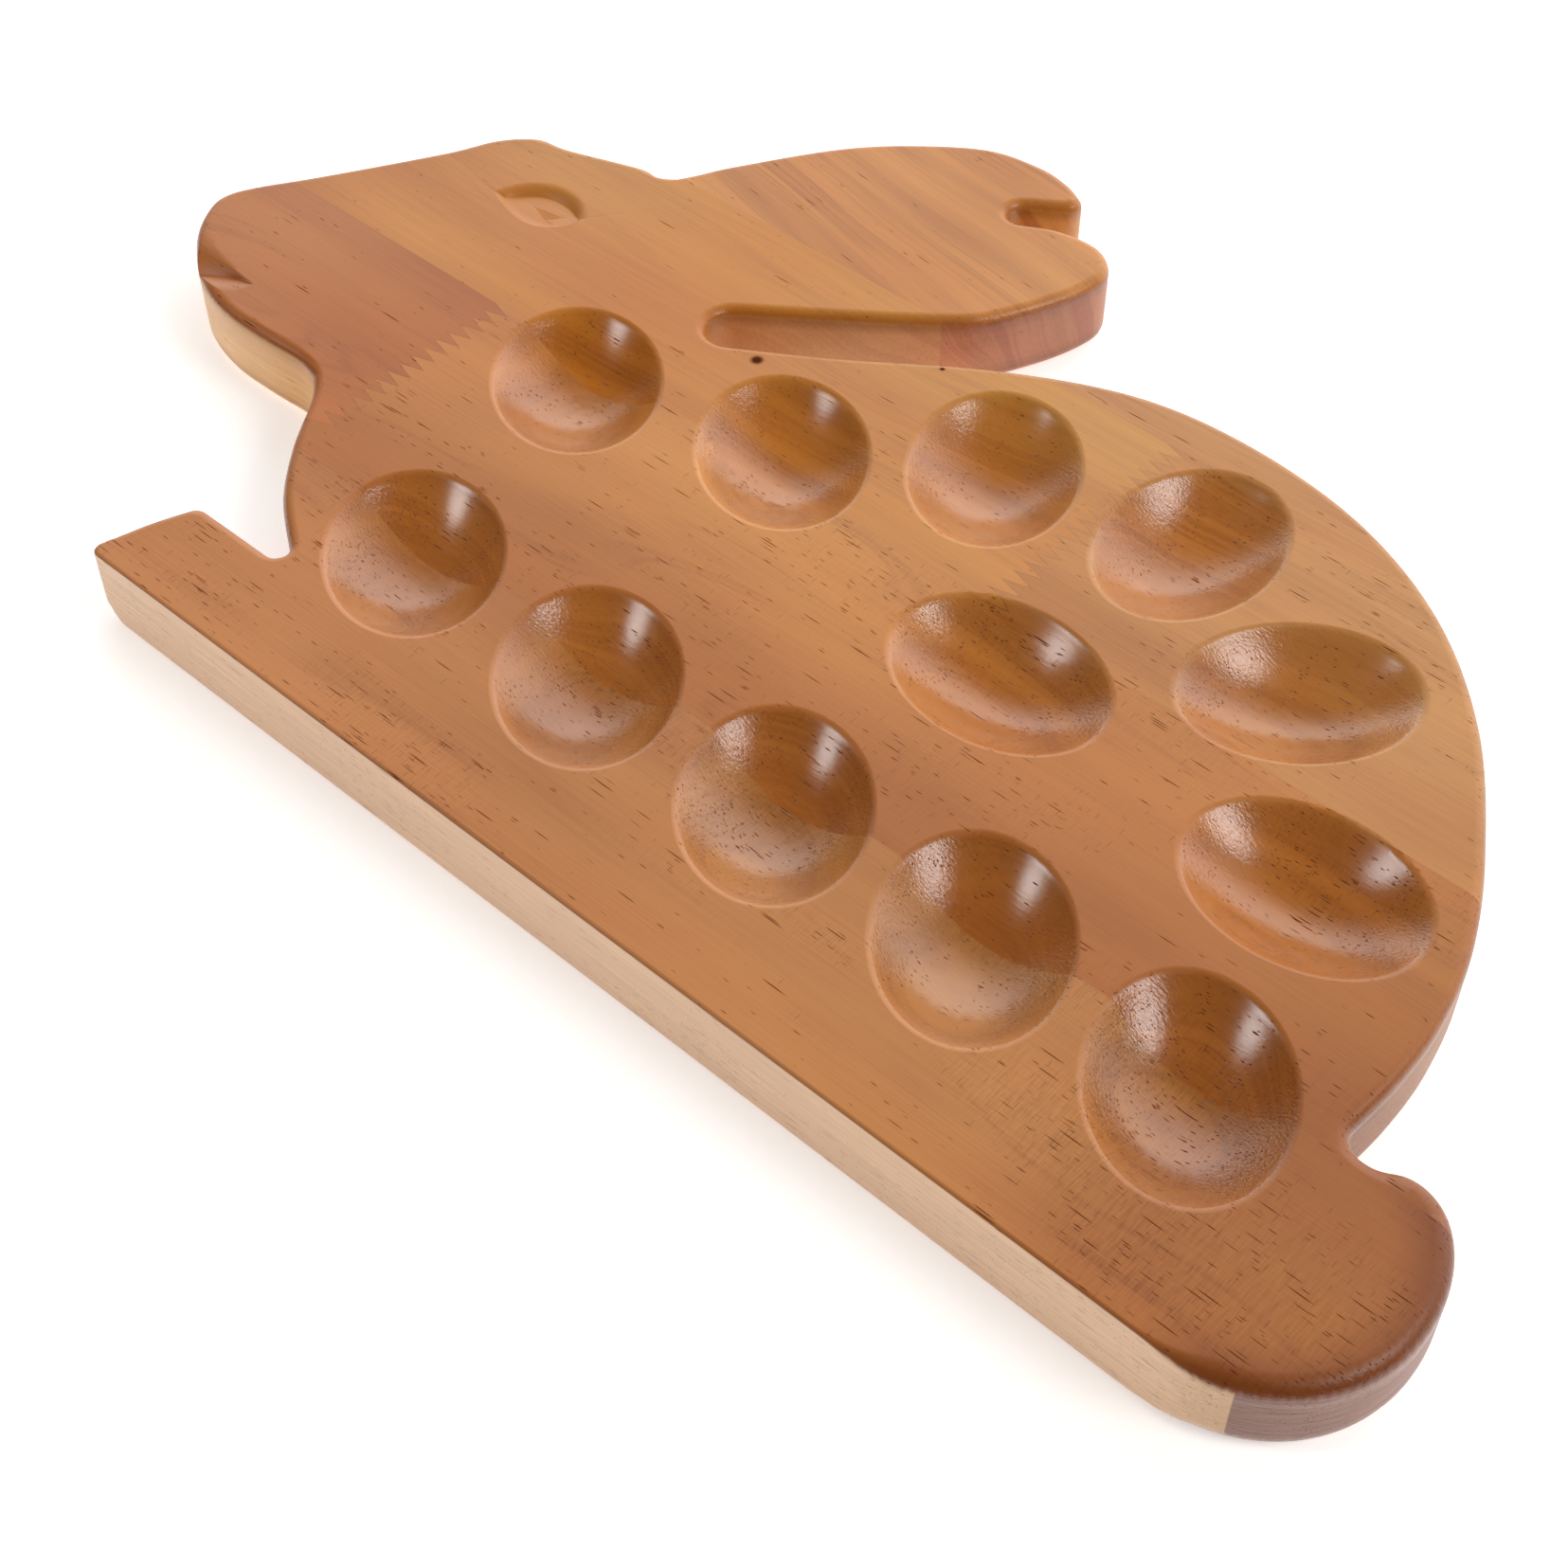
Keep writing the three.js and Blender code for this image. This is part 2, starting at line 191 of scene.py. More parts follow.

# Wood of each block, with "slot", the name of its material, and its tone. "seed" shifts its grain, "rings"
# gives the tilt, pitch, swing and depth of its growth rings, and "pores", "sanding" and "ends" are its
# shares of pores, of brushing across the grain and of end grain on its walls. "toning" and "wall" are tints
# of its face and of its sawn walls at places along the staves, "crossing" tints at places across them, and
# "well" a tint in the wells. Some have "joint", a finger joint's place, "grain_turn", a turn of the grain in
# degrees, "stripes", how far the rings mark the walls, "knots", centres and radii, or in place of "wall" a
# "pale_wall", the barely stained face of the base.
BLOCKS = {
    "base_stave": {
        "slot": "base_wood", "tone": "base_tone", "seed": 3.0, "rings": (75, 9, 3, 0.35),
        "pores": 1.0, "sanding": 0.9, "ends": 1.0, "pale_wall": True, "well": (0.91, 0.92, 0.82),
        "toning": (
            (40, (1.05, 1.07, 1.06)), (130, (0.97, 1, 0.95)), (235, (1.01, 1.09, 1.03)),
            (281, (0.735, 0.66, 0.47)),
        ),
        "crossing": ((2, (0.98, 0.95, 0.95)), (22, (0.93, 0.9, 0.85)), (50, (0.89, 0.84, 0.75))),
    },
    "muzzle_block": {
        "slot": "muzzle_wood", "tone": "muzzle_tone", "seed": 11.0, "rings": (60, 8, 4, 0.3),
        "pores": 0.25, "sanding": 0.1, "ends": 0.3, "joint": MUZZLE_JOINT,
        "wall": ((-90, (1.3, 1.9, 3.6)), (-60, (1.88, 3.55, 8))),
        "toning": ((-60, (1, 1, 1)), (-5, (0.94, 0.82, 0.55))),
    },
    "body_block": {
        "slot": "body_wood", "tone": "body_tone", "seed": 23.0, "rings": (70, 9, 4, 0.35),
        "pores": 0.7, "sanding": 0.4, "ends": 0.5, "joint": MUZZLE_JOINT,
        "wall": ((0, (1.08, 1.5, 2.8)), (290, (1.08, 1.5, 2.8))),
        "toning": (
            (10, (1.03, 1, 0.95)), (60, (1.03, 1.05, 1.05)), (125, (1.03, 1.05, 1.05)),
            (190, (0.91, 0.87, 0.85)), (240, (0.91, 0.87, 0.85)), (300, (0.74, 0.66, 0.55)),
        ),
        "crossing": ((62, (0.75, 0.65, 0.57)), (100, (1, 1.02, 1.05))),
    },
    "head_block": {
        "slot": "head_wood", "tone": "head_tone", "seed": 37.0, "rings": (40, 8, 5, 0.2),
        "pores": 0.15, "sanding": 0.05, "ends": 0.2, "joint": RUMP_JOINT, "well": (0.98, 0.93, 0.88),
        # The head's walls grow lighter from x 25 towards the slot: painted light where the slot lies in shade
        "wall": ((25, (0.95, 1.05, 2.2)), (60, (1.13, 1.62, 5)), (97, (1.06, 1.32, 3.9))),
        "toning": (
            (-75, (0.91, 0.85, 0.9)), (-32, (1, 1, 1)), (35, (0.98, 0.89, 0.6)), (90, (1, 1, 1)),
            (150, (1, 1.07, 1.3)),
        ),
        "crossing": ((152, (1, 1, 1)), (183, (1.03, 1.15, 1.17))),
        "knots": (((64.8, 146.4), 2.2), ((99.5, 173.3), 1.0)),
    },
    "rump_block": {
        "slot": "rump_wood", "tone": "rump_tone", "seed": 41.0, "rings": (50, 8, 4, 0.3),
        "pores": 0.5, "sanding": 0.15, "ends": 0.3, "joint": RUMP_JOINT, "well": (1.02, 0.93, 0.84),
        "wall": ((220, (0.95, 1.2, 1.9)), (290, (1, 1.6, 3.2))),
        "toning": ((155, (1, 0.97, 0.9)), (200, (1, 1, 1)), (250, (1, 1.08, 1.2))),
        "crossing": ((121, (0.93, 0.86, 0.78)), (150, (1, 1.02, 1.05))),
    },
    "ear_block": {
        "slot": "ear_wood", "tone": "ear_tone", "seed": 59.0, "rings": (25, 9, 3, 0.6),
        "pores": 0.15, "sanding": 0.1, "ends": 0.2, "grain_turn": 9.0, "stripes": 0.7,
        "wall": ((80, (1.1, 1.4, 2)), (88, (1.06, 1.27, 3.5)), (99, (0.8, 0.88, 2.4))),
        "toning": ((36, (1.03, 1.05, 1.14)), (66, (0.98, 0.97, 0.96)), (100, (1.06, 1.12, 1.3))),
    },
    "back_block": {
        "slot": "back_wood", "tone": "back_tone", "seed": 67.0, "rings": (30, 9, 3, 0.4),
        "pores": 0.3, "sanding": 0.1, "ends": 0.2,
        "wall": ((100, (0.95, 1.15, 1.8)), (220, (0.95, 1.15, 1.8))),
    },
}

# Figures of the wood: each one's lengths in millimetres along the grain, across it and through the board,
# and its own shift. After them, how a shift is shared out over the axes, and the detail and roughness of the
# finest noise
FIGURES = {
    "drift": ((210, 55, 55), 0), "fibre": ((30, 0.55, 0.55), 0), "mottle": ((85, 24, 24), 0),
    "flush": ((120, 26, 26), 13), "patches": ((60, 20, 20), 21), "pores": ((12, 0.6, 0.6), 0),
    "short_pores": ((4.5, 0.5, 0.5), 5), "ticks": ((0.7, 4.5, 2), 9), "brushing": ((0.35, 5, 3), 17),
    "end_lines": ((14, 14, 0.35), 31), "seam_breaks": ((3, 3, 3), 0), "grit": ((3, 0.55, 0.55), 3),
}
SHIFT_SHARES = (1, 1.7, 0.6)
FINE_DETAIL = 3.0
FINE_ROUGHNESS = 0.6

# Shade: where the darkest, the plain and the lightest wood lie on its scale, how far fibres, mottle, the
# rings in the wells and brushing move it, and how much of the brushing is left at the paw
SHADE_STOPS = (0.1, 0.5, 0.9)
FIBRE_SHADE = 0.3
MOTTLE_SHADE = 0.4
WELL_RING_SHADE = 0.6
BRUSHED_SHADE = 0.75
LEAST_BRUSHED = 0.4

# Pores: how far the reach of strokes varies in their cells, the least reach as a share of that, the share of
# a stroke that is fully dark, the shares of pores in patches and everywhere, and how many more the wells
# have
STROKE_REACH = 0.22
LEAST_REACH = 0.55
STROKE_CORE = 0.45
PATCHED_PORES, EVEN_PORES = 0.8, 0.2
WELL_PORES = 0.2

# Marks: how much of the pores on faces and walls, of the ticks, of the rings on walls and of the tail's
# stain shows, how much of the tints across the staves is left in the wells, and the factor and the rest of
# the fibres in the pale face and of the lines in end grain
PORE_MARK = 0.8
WALL_PORE_MARK = 0.35
TICK_MARK = 0.3
WALL_STRIPES = 0.3
TAIL_STAIN = 0.8
WELL_CROSSING = 0.5
PALE_FIBRES = (0.6, 0.7)
END_LINES = (1.4, 0.3)

# Where the wood changes, as the ends of smooth steps: by the rise and the turn of the surface from face to
# wall, to the pale base face, to end grain and to rough-cut ends, by noise into patches, flushes, stripes,
# late wood and breaks of a seam, by the millimetres from a finger joint into its seam, along the board into
# brushing, by the bowl into its sunk part, which is stained and darkened by painted shade, and by bowl and
# arris into glossy wood
WALL_RISE = (0.55, 0.2)
PALE_FACE_TURN = (-0.75, -0.88)
END_GRAIN_TURN = (0.6, 1.0)
CUT_END_TURN = (0.15, 0.6)
PATCH_EDGE = (0.38, 0.62)
FLUSH_EDGE = (0.35, 0.65)
STRIPE_EDGE = (0.5, 0.6)
LATE_WOOD_EDGE = (0.035, 0.0)
SEAM_BREAK_EDGE = (0.35, 0.6)
SEAM_EDGE = (0.8, 0.2)
BRUSHED_X = (40, 240)
SUNK_BOWL = (0.0, 0.3)
GLOSSY_BOWL = (0.0, 0.08)
GLOSSY_ARRIS = (0.35, 0.7)

# Lacquer: how glossy the arrises are beside the wells, how far fibres and pores roughen it, its refractive
# index, its specular level without and with a pore, and the relief of grit, cut ends and fibres beside that
# of the pores
ARRIS_GLOSS = 0.45
FIBRE_ROUGHNESS = 0.12
PORE_ROUGHNESS = 0.4
LACQUER_INDEX = 1.45
SPECULAR_LEVELS = (0.5, 0.05)
GRIT_RELIEF = 0.4
CUT_END_RELIEF = 3
FIBRE_RELIEF = 0.6

# Tints of the darkest and the lightest wood, of its two flushes and of the stripes on sawn walls
DARK_TINT = (0.55, 0.42, 0.34, 1)
LIGHT_TINT = (1.3, 1.4, 1.5, 1)
FLUSH_TINTS = ((1.0, 0.97, 0.92, 1), (1.0, 1.03, 1.06, 1))
STRIPE_TINT = (0.66, 0.5, 0.52, 1)

# Stage: the floor, the camera's place and turn in metres and degrees, the backdrop's direction and soft
# edge, how far off the softboxes are and where they fade, and each one's azimuth, elevation and width
FLOOR_DROP = -0.0002
FLOOR_REACH = 2.0
FLOOR_PLACES = 9
FLOOR_ROUGHNESS = 0.8
CAMERA_PLACE = (0.26432, -0.32321, 0.39963)
CAMERA_TURN = (41.43963, 0.08687, 42.22926)
CAMERA_LENS = 57.69
BACKDROP_AZIMUTH = 107.0
BACKDROP_EDGE = (0.25, 0.85)
SOFTBOX_REACH = 2.0
SOFTBOX_FADE = (0.5, 0.1)
SOFTBOXES = (("softbox_left", -133.0, 41.0, 0.95), ("softbox_right", 14.0, 44.0, 1.4))


def smooth(low, high, value):
    """The smooth step from 0 at low to 1 at high: 3t squared less 2t cubed of the clipped share t."""
    t = np.clip((value - low) / (high - low), 0, 1)
    return t * t * (3 - 2 * t)


def spline(points, per_span=24):
    """A Catmull-Rom curve through the points: on each span a cubic whose end slopes are half the chord
    between the neighbours. The last point is left to the next stretch."""
    p = np.asarray(points, float)
    ends = np.vstack([p[:1], p, p[-1:]])
    a, b, c, d = (ends[i:i + len(p) - 1, None] for i in range(4))
    t = np.linspace(0, 1, per_span, endpoint=False)[None, :, None]
    out, back = (c - a) / 2, (d - b) / 2
    curve = (2 * b - 2 * c + out + back) * t ** 3 + (3 * c - 3 * b - 2 * out - back) * t ** 2 + out * t + b
    return curve.reshape(-1, 2)


def arc(centre, radii, start, end, count=40):
    """Points of an ellipse's arc: the centre plus the radii times cosine and sine of the angle, in
    degrees."""
    angle = np.radians(np.linspace(start, end, count, endpoint=False))
    rx, ry = np.broadcast_to(radii, 2)
    return np.column_stack([centre[0] + rx * np.cos(angle), centre[1] + ry * np.sin(angle)])


def bezier(points, count=40):
    """A Bezier curve of any order by repeated mixing of neighbouring points with the shares 1 - t and t."""
    t = np.linspace(0, 1, count, endpoint=False)[:, None, None]
    level = np.broadcast_to(np.asarray(points, float), (count, len(points), 2))
    for _ in points[1:]:
        level = level[:, :-1] * (1 - t) + level[:, 1:] * t
    return level[:, 0]


def on_arc(centre, radius, angle):
    """The point of a circle at an angle in degrees."""
    return arc(centre, radius, angle, angle + 1, 1)[0]


def outline_curve():
    """The board's outline, anticlockwise from the toe, as one dense closed line of arcs and splines."""
    tail_end = BASE_LENGTH + TAIL_RADIUS
    notch_floor = (TAIL_NOTCH[0], TAIL_NOTCH[1] - TAIL_NOTCH_RADIUS)
    easing = (TAIL_TOP[0] - TAIL_NOTCH[0]) / 2
    notch_side = (TAIL_NOTCH[0] - TAIL_NOTCH_RADIUS, TAIL_NOTCH[1])
    slot_low = on_arc(SLOT_END, SLOT_RADIUS, SLOT_TURN - 90)
    slot_high = on_arc(SLOT_END, SLOT_RADIUS, SLOT_TURN + 90)
    notch_turn, tip_turn = EAR_NOTCH_TURNS
    ear_low = on_arc(EAR_NOTCH_END, EAR_NOTCH_RADIUS, notch_turn - 90)
    tip_end = on_arc(EAR_TIP, EAR_TIP_RADIUS, EAR_TIP_TURN)
    cut_start = CHEST_CUT_TURN + 90
    cut_side = on_arc(CHEST_CUT, CHEST_CUT_RADIUS, cut_start)
    knuckle_end = on_arc(KNUCKLE, KNUCKLE_RADIUS, 90 + KNUCKLE_TURN)
    paw_front = bezier([knuckle_end, PAW_BOW, (0, 0)])
    paw_front = paw_front[np.hypot(*paw_front.T) > TOE_ROUND]
    return np.vstack([
        bezier([paw_front[-1], (0, 0), (TOE_ROUND, 0)], 12),
        [(TOE_ROUND, 0)],
        arc((BASE_LENGTH, TAIL_RADIUS), TAIL_RADIUS, -90, 0),
        arc((TAIL_TOP[0], TAIL_RADIUS), (tail_end - TAIL_TOP[0], TAIL_TOP[1] - TAIL_RADIUS), 0, 90),
        bezier([
            TAIL_TOP, (TAIL_TOP[0] - easing, TAIL_TOP[1]),
            (TAIL_NOTCH[0] + easing, notch_floor[1]), notch_floor,
        ]),
        arc(TAIL_NOTCH, TAIL_NOTCH_RADIUS, 270, 180),
        spline([notch_side, *RUMP_AND_BACK, slot_low]),
        arc(SLOT_END, SLOT_RADIUS, SLOT_TURN + 270, SLOT_TURN + 90),
        spline([slot_high, *EAR_LOWER_LOBE, ear_low]),
        arc(EAR_NOTCH_END, EAR_NOTCH_RADIUS, notch_turn + 270, tip_turn + 90),
        arc(EAR_TIP, EAR_TIP_RADIUS, tip_turn - 90, EAR_TIP_TURN),
        spline([tip_end, *EAR_UPPER_LOBE]),
        spline([EAR_UPPER_LOBE[-1], *HEAD]),
        spline([HEAD[-1], *CHEST, cut_side]),
        arc(CHEST_CUT, CHEST_CUT_RADIUS, cut_start, -90),
        arc(KNUCKLE, KNUCKLE_RADIUS, 90, 90 + KNUCKLE_TURN),
        paw_front[:-1],
    ])


def along(closed_line, step, heights):
    """Even points along a closed line, with the places where it crosses the given heights among them.
    Places are lengths along the line, read back by linear interpolation."""
    ring = np.vstack([closed_line, closed_line[:1]])
    length = np.concatenate([[0], np.cumsum(np.hypot(*np.diff(ring, axis=0).T))])
    y = ring[:, 1]
    marks, levels = [], []
    for height in heights:
        i = np.flatnonzero((y[:-1] - height) * (y[1:] - height) < 0)
        share = (height - y[i]) / (y[i + 1] - y[i])
        marks.append(length[i] + share * (length[i + 1] - length[i]))
        levels.append(np.full(len(i), height))
    marks, levels = np.concatenate(marks), np.concatenate(levels)
    places = np.linspace(0, length[-1], round(length[-1] / step), endpoint=False)
    clear = np.abs(places[:, None] - marks[None]).min(1) > FREE_STEP * step
    places = np.concatenate([places[clear], marks])
    order = np.argsort(places)
    points = np.column_stack([np.interp(places, length, ring[:, k]) for k in (0, 1)])
    points[-len(marks):, 1] = levels
    return points[order]


def inward(points):
    """Unit normals of a closed line that point to its left: the turned chord between the neighbours."""
    chord = np.roll(points, -1, 0) - np.roll(points, 1, 0)
    normal = np.column_stack([-chord[:, 1], chord[:, 0]])
    return normal / np.hypot(*normal.T)[:, None]


def toe_share(points):
    """How near each outline point is to the toe: one at its tip, none a short way along the base or up the
    paw."""
    return smooth(*TOE_ARRIS_X, points[:, 0]) * smooth(*TOE_ARRIS_Y, points[:, 1])


def edge_round(points, curved, crisp, tail):
    """The radius of the rounded arris at each outline point: crisp along the straight base, full round the
    tail."""
    x, y = points.T
    straight = smooth(*BASE_ARRIS_Y, y) * smooth(*BASE_ARRIS_X, x)
    at_tail = smooth(*TAIL_ARRIS_X, x) * smooth(*TAIL_ARRIS_Y, y)
    return curved + (crisp - curved) * straight + (tail - curved) * at_tail * (1 - straight)


def nearest(points, line, radius):
    """Signed distance of points from a closed line, positive inside, and the line's radius there. Each point
    is dropped onto every chord, and the closest foot counts."""
    start, end = line, np.roll(line, -1, 0)
    chord = end - start
    offset = points[:, None] - start[None]
    share = np.clip((offset * chord).sum(2) / (chord ** 2).sum(1), 0, 1)
    gap = offset - share[..., None] * chord
    distance = np.hypot(gap[..., 0], gap[..., 1])
    best = distance.argmin(1)
    row = np.arange(len(points))
    side = chord[best, 0] * offset[row, best, 1] - chord[best, 1] * offset[row, best, 0]
    return np.where(side >= 0, 1, -1) * distance[row, best], radius[best]


def zigzag(x, low, high, pitch, reach):
    """A finger joint's line up a stave: corners that swing by half the fingers' length to either side."""
    fingers = round((high - low) / pitch)
    y = np.linspace(low, high, 2 * fingers + 1)
    return np.column_stack([x + reach / 2 * np.where(np.arange(len(y)) % 2, 1, -1), y])


def finger_x(y, x, low, high, pitch, reach):
    """Where a finger joint lies at height y: the zigzag read back by linear interpolation."""
    line = zigzag(x, low, high, pitch, reach)
    return np.interp(y, line[:, 1], line[:, 0])


def divided(line, step=0.9, fine=0.16, fine_length=3.2):
    """A line with extra points on it, closer together near its ends, where it passes the rounded arrises."""
    line = np.asarray(line, float)
    length = np.concatenate([[0], np.cumsum(np.hypot(*np.diff(line, axis=0).T))])
    end = length[-1]
    places = np.concatenate([
        length,
        np.linspace(0, end, max(2, round(end / step))),
        np.arange(0, min(fine_length, end / 2), fine),
        end - np.arange(0, min(fine_length, end / 2), fine),
    ])
    places = np.unique(np.round(places, 4))
    keep = np.concatenate([[True], np.diff(places) > LEAST_STEP])
    corner = np.isclose(places[:, None], length[None], atol=0.001).any(1)
    before_corner = np.concatenate([corner[1:], [False]]) & (np.diff(np.append(places, end + 1)) < LEAST_STEP)
    places = places[(keep | corner) & ~(before_corner & ~corner)]
    return np.column_stack([np.interp(places, length, line[:, k]) for k in (0, 1)])


def joint_lines(line, pitch, reach):
    """The glue lines and finger joints, each from one outline crossing or joint to the next."""
    lower, middle, upper = GLUE_LINES

    def crossings(height):
        return np.sort(line[line[:, 1] == height, 0])

    muzzle, rump = (zigzag(*joint, pitch, reach) for joint in (MUZZLE_JOINT, RUMP_JOINT))
    low, mid, foot = (crossings(height) for height in (lower, middle, MUZZLE_JOINT_FOOT))
    ear_left, ear_right, back_left, back_right = crossings(upper)
    chest = foot[np.argmin(np.abs(foot - muzzle[0, 0]))]
    return [
        [(low[0], lower), (low[-1], lower)],
        [(chest, MUZZLE_JOINT_FOOT), muzzle[0]],
        muzzle,
        [(mid[0], middle), muzzle[-1], rump[0], (mid[-1], middle)],
        rump,
        [(ear_left, upper), (ear_right, upper)],
        [(back_left, upper), rump[-1], (back_right, upper)],
    ]


def well_axes():
    """The wells' centres and the cosines and sines of their turns."""
    x, y, turn = np.array(WELLS).T
    return x, y, np.cos(np.radians(turn)), np.sin(np.radians(turn))


def well_places(depth, rim, length, width):
    """Polar grids of the wells: rings of shares of the ellipse, each a row of spokes, out to where the rim
    ends."""
    shares = np.array([*WELL_RINGS, np.sqrt(1 + rim / depth)])
    angle = np.linspace(0, 2 * np.pi, WELL_SPOKES, endpoint=False)
    ring = shares[:, None, None] * np.stack([np.cos(angle) * length / 2, np.sin(angle) * width / 2], -1)
    sparse = np.concatenate([ring[:3, ::3].reshape(-1, 2), ring[3:].reshape(-1, 2), [(0, 0)]])
    x, y, c, s = (value[:, None] for value in well_axes())
    u, v = sparse[None, :, 0], sparse[None, :, 1]
    return np.column_stack([(x + c * u - s * v).ravel(), (y + s * u + c * v).ravel()])


def well_depth(points, depth, rim, length, width):
    """Depth of the wells: a paraboloid, depth times one less the squared share of the ellipse, run into the
    flat face by a parabola where it is within the rim's height of it."""
    x, y, c, s = well_axes()
    dx, dy = points[:, :1] - x, points[:, 1:] - y
    share = ((c * dx + s * dy) / (length / 2)) ** 2 + ((c * dy - s * dx) / (width / 2)) ** 2
    return run_out((depth * (1 - share)).max(1), rim)


def run_out(sunk, soft):
    """A depth that runs out in a parabola where it is less than the soft height: the squared sum of both
    over four times that height."""
    return np.where(sunk > soft, sunk, np.clip(sunk + soft, 0, None) ** 2 / (4 * soft))


def eye_axes():
    """The eye's middle, unit vectors along the line between its corners and across it, and half its
    length."""
    left, right = np.array(EYE_CORNERS)
    span = np.hypot(*(right - left))
    axis = (right - left) / span
    return (left + right) / 2, axis, np.array([-axis[1], axis[0]]), span / 2


def eye_lids(u, half):
    """The lower lid, the crease and the upper lid at a length along the eye: parabolas, the lower one
    leaning to the right and the upper one filled out, and the crease kept between them."""
    share = np.clip(u / half, -1, 1)
    bulge = 1 - share ** 2
    lower = -EYE_SAGS[0] * bulge * (1 + EYE_SKEW * share)
    upper = EYE_SAGS[2] * bulge ** UPPER_LID_FULLNESS
    crease = EYE_SAGS[1] * (1 - (share / CREASE_SPAN) ** 2)
    return lower, np.clip(crease, lower + CREASE_LOWEST * (upper - lower), upper), upper


def pupil_depths(points):
    """Distances of places inside the pupil's three sides, in the order of its corners."""
    corners = np.array(PUPIL)
    sides = np.roll(corners, -1, 0) - corners
    reach = points[:, None] - corners[None]
    return (sides[:, 0] * reach[..., 1] - sides[:, 1] * reach[..., 0]) / np.hypot(*sides.T)


def ruled(low, middle, high, t):
    """Places between three lines: from the low one at t of 0 over the middle one at 1 to the high one at
    2."""
    return np.where(t < 1, low + (middle - low) * t, middle + (high - middle) * (t - 1))


def eye_places():
    """A grid over the eye, in rows from the lower lid to the crease and on to the upper lid, with a finer
    lattice of the pupil set into it."""
    centre, axis, across, half = eye_axes()
    columns = np.linspace(-0.97, 0.97, 61) * half
    rows = np.concatenate([
        [-0.03, 0, 0.03, 0.07, 0.12], np.linspace(0.2, 0.9, 15),
        [0.96, 1, 1.05, 1.1], np.linspace(1.2, 2.03, 12),
    ])
    u, t = np.meshgrid(columns, rows)
    v = ruled(*eye_lids(u, half), t)
    places = u.ravel()[:, None] * axis + v.ravel()[:, None] * across
    places = places + centre
    steps = PUPIL_STEPS + 1
    i, j = np.meshgrid(np.arange(steps), np.arange(steps))
    i, j = i[i + j < steps] / PUPIL_STEPS, j[i + j < steps] / PUPIL_STEPS
    lattice = np.column_stack([i, j, 1 - i - j]) @ np.array(PUPIL)
    middle = np.mean(PUPIL, 0)
    ring = lattice[np.isclose(np.minimum(np.minimum(i, j), 1 - i - j), 0)]
    clear = pupil_depths(places).min(1) < -PUPIL_CLEARANCE
    return np.vstack([places[clear], lattice, middle + PUPIL_RING * (ring - middle)])


def eye_depth(points, depth):
    """Depth of the eye: a ramp that sinks from a small step at the lower lid to the crease, and from there a
    hollow wall up to the upper lid. The pupil is a facet that sinks away from its top side. With it, how far
    wall and pupil are darkened by painted shade."""
    centre, axis, across, half = eye_axes()
    u, v = (points - centre) @ axis, (points - centre) @ across
    lower, crease, upper = eye_lids(u, half)
    ramp = np.clip((v - lower) / np.maximum(crease - lower, LEAST_LID), 0, 1)
    wall = np.clip((upper - v) / np.maximum(upper - crease, LEAST_LID), 0, 1)
    sunk = np.minimum(LID_STEP * smooth(0, LID_STEP_WIDTH, ramp) + (1 - LID_STEP) * ramp, wall ** 2)
    first, second, top = pupil_depths(points).T
    pupil = PUPIL_DEPTH * np.clip(top / PUPIL_FALL, 0, 1) * smooth(0, PUPIL_EDGE, np.minimum(first, second))
    full = smooth(0, EYE_CORNER_FADE, 1 - np.clip(u / half, -1, 1) ** 2)
    # The second value is the painted shade on the eye's wall and in its pupil
    return depth * full * (sunk + pupil), full * np.where(v > crease, wall ** 2, PUPIL_PAINTED_SHADE * (pupil > 0))


def mouth_axes():
    """Unit vectors along the mouth's upper edge, outward from its inner end, and across it, downwards."""
    turn = np.radians(MOUTH_TURN)
    axis = np.array([np.cos(turn), np.sin(turn)])
    return axis, np.array([-axis[1], axis[0]])


def mouth_edges(a):
    """The gouge's upper edge, valley and lower edge at a length from its inner end: a shallow bow, the bow
    plus a parabola, and a root that opens fast."""
    a = np.clip(a, 0, None)
    upper = MOUTH_BOW * a * (1 - a / MOUTH_LENGTH)
    return upper, upper + MOUTH_VALLEY * a ** 2, MOUTH_OPENING * a ** MOUTH_FLARE


def mouth_places():
    """Rows of places over the mouth's gouge, from its upper edge to the valley and on to its lower edge."""
    axis, across = mouth_axes()
    columns = np.linspace(0.5, 1.15 * MOUTH_LENGTH, 72)
    rows = np.concatenate([np.linspace(0, 0.9, 8), [1, 1.05], np.linspace(1.12, 2.0, 15)])
    a, t = np.meshgrid(columns, rows)
    c = ruled(*mouth_edges(a), t)
    c = np.vstack([c[:1] - 2, c[:1] - 1.2, c[:1] - 0.5, c, c[-1:] + 0.5, c[-1:] + 1.2, c[-1:] + 3])
    a = np.vstack([a[:3], a, a[:3]])
    places = a.ravel()[:, None] * axis + c.ravel()[:, None] * across
    return places + np.array(MOUTH_END)


def mouth_depth(points, depth):
    """Depth of the mouth: in proportion to the length from its inner end, a short wall falls from the upper
    edge to the valley and a long ramp rises from there to the lower edge. Where it is shallow it runs out in
    a parabola."""
    offset = points - np.array(MOUTH_END)
    a, c = (offset @ axis for axis in mouth_axes())
    upper, valley, lower = mouth_edges(a)
    wall = (c - upper) / np.maximum(valley - upper, LEAST_EDGE)
    ramp = (lower - c) / np.maximum(lower - valley, LEAST_EDGE)
    wall = np.where(wall > 0, wall ** MOUTH_WALL_HOLLOW, wall)
    sunk = depth * np.clip(a, 0, None) / MOUTH_FULL_LENGTH * np.minimum(wall, ramp)
    sunk = run_out(sunk, MOUTH_RIM * np.clip(a / MOUTH_RIM_LENGTH, LEAST_RIM, 1))
    return sunk * smooth(*MOUTH_START, a)


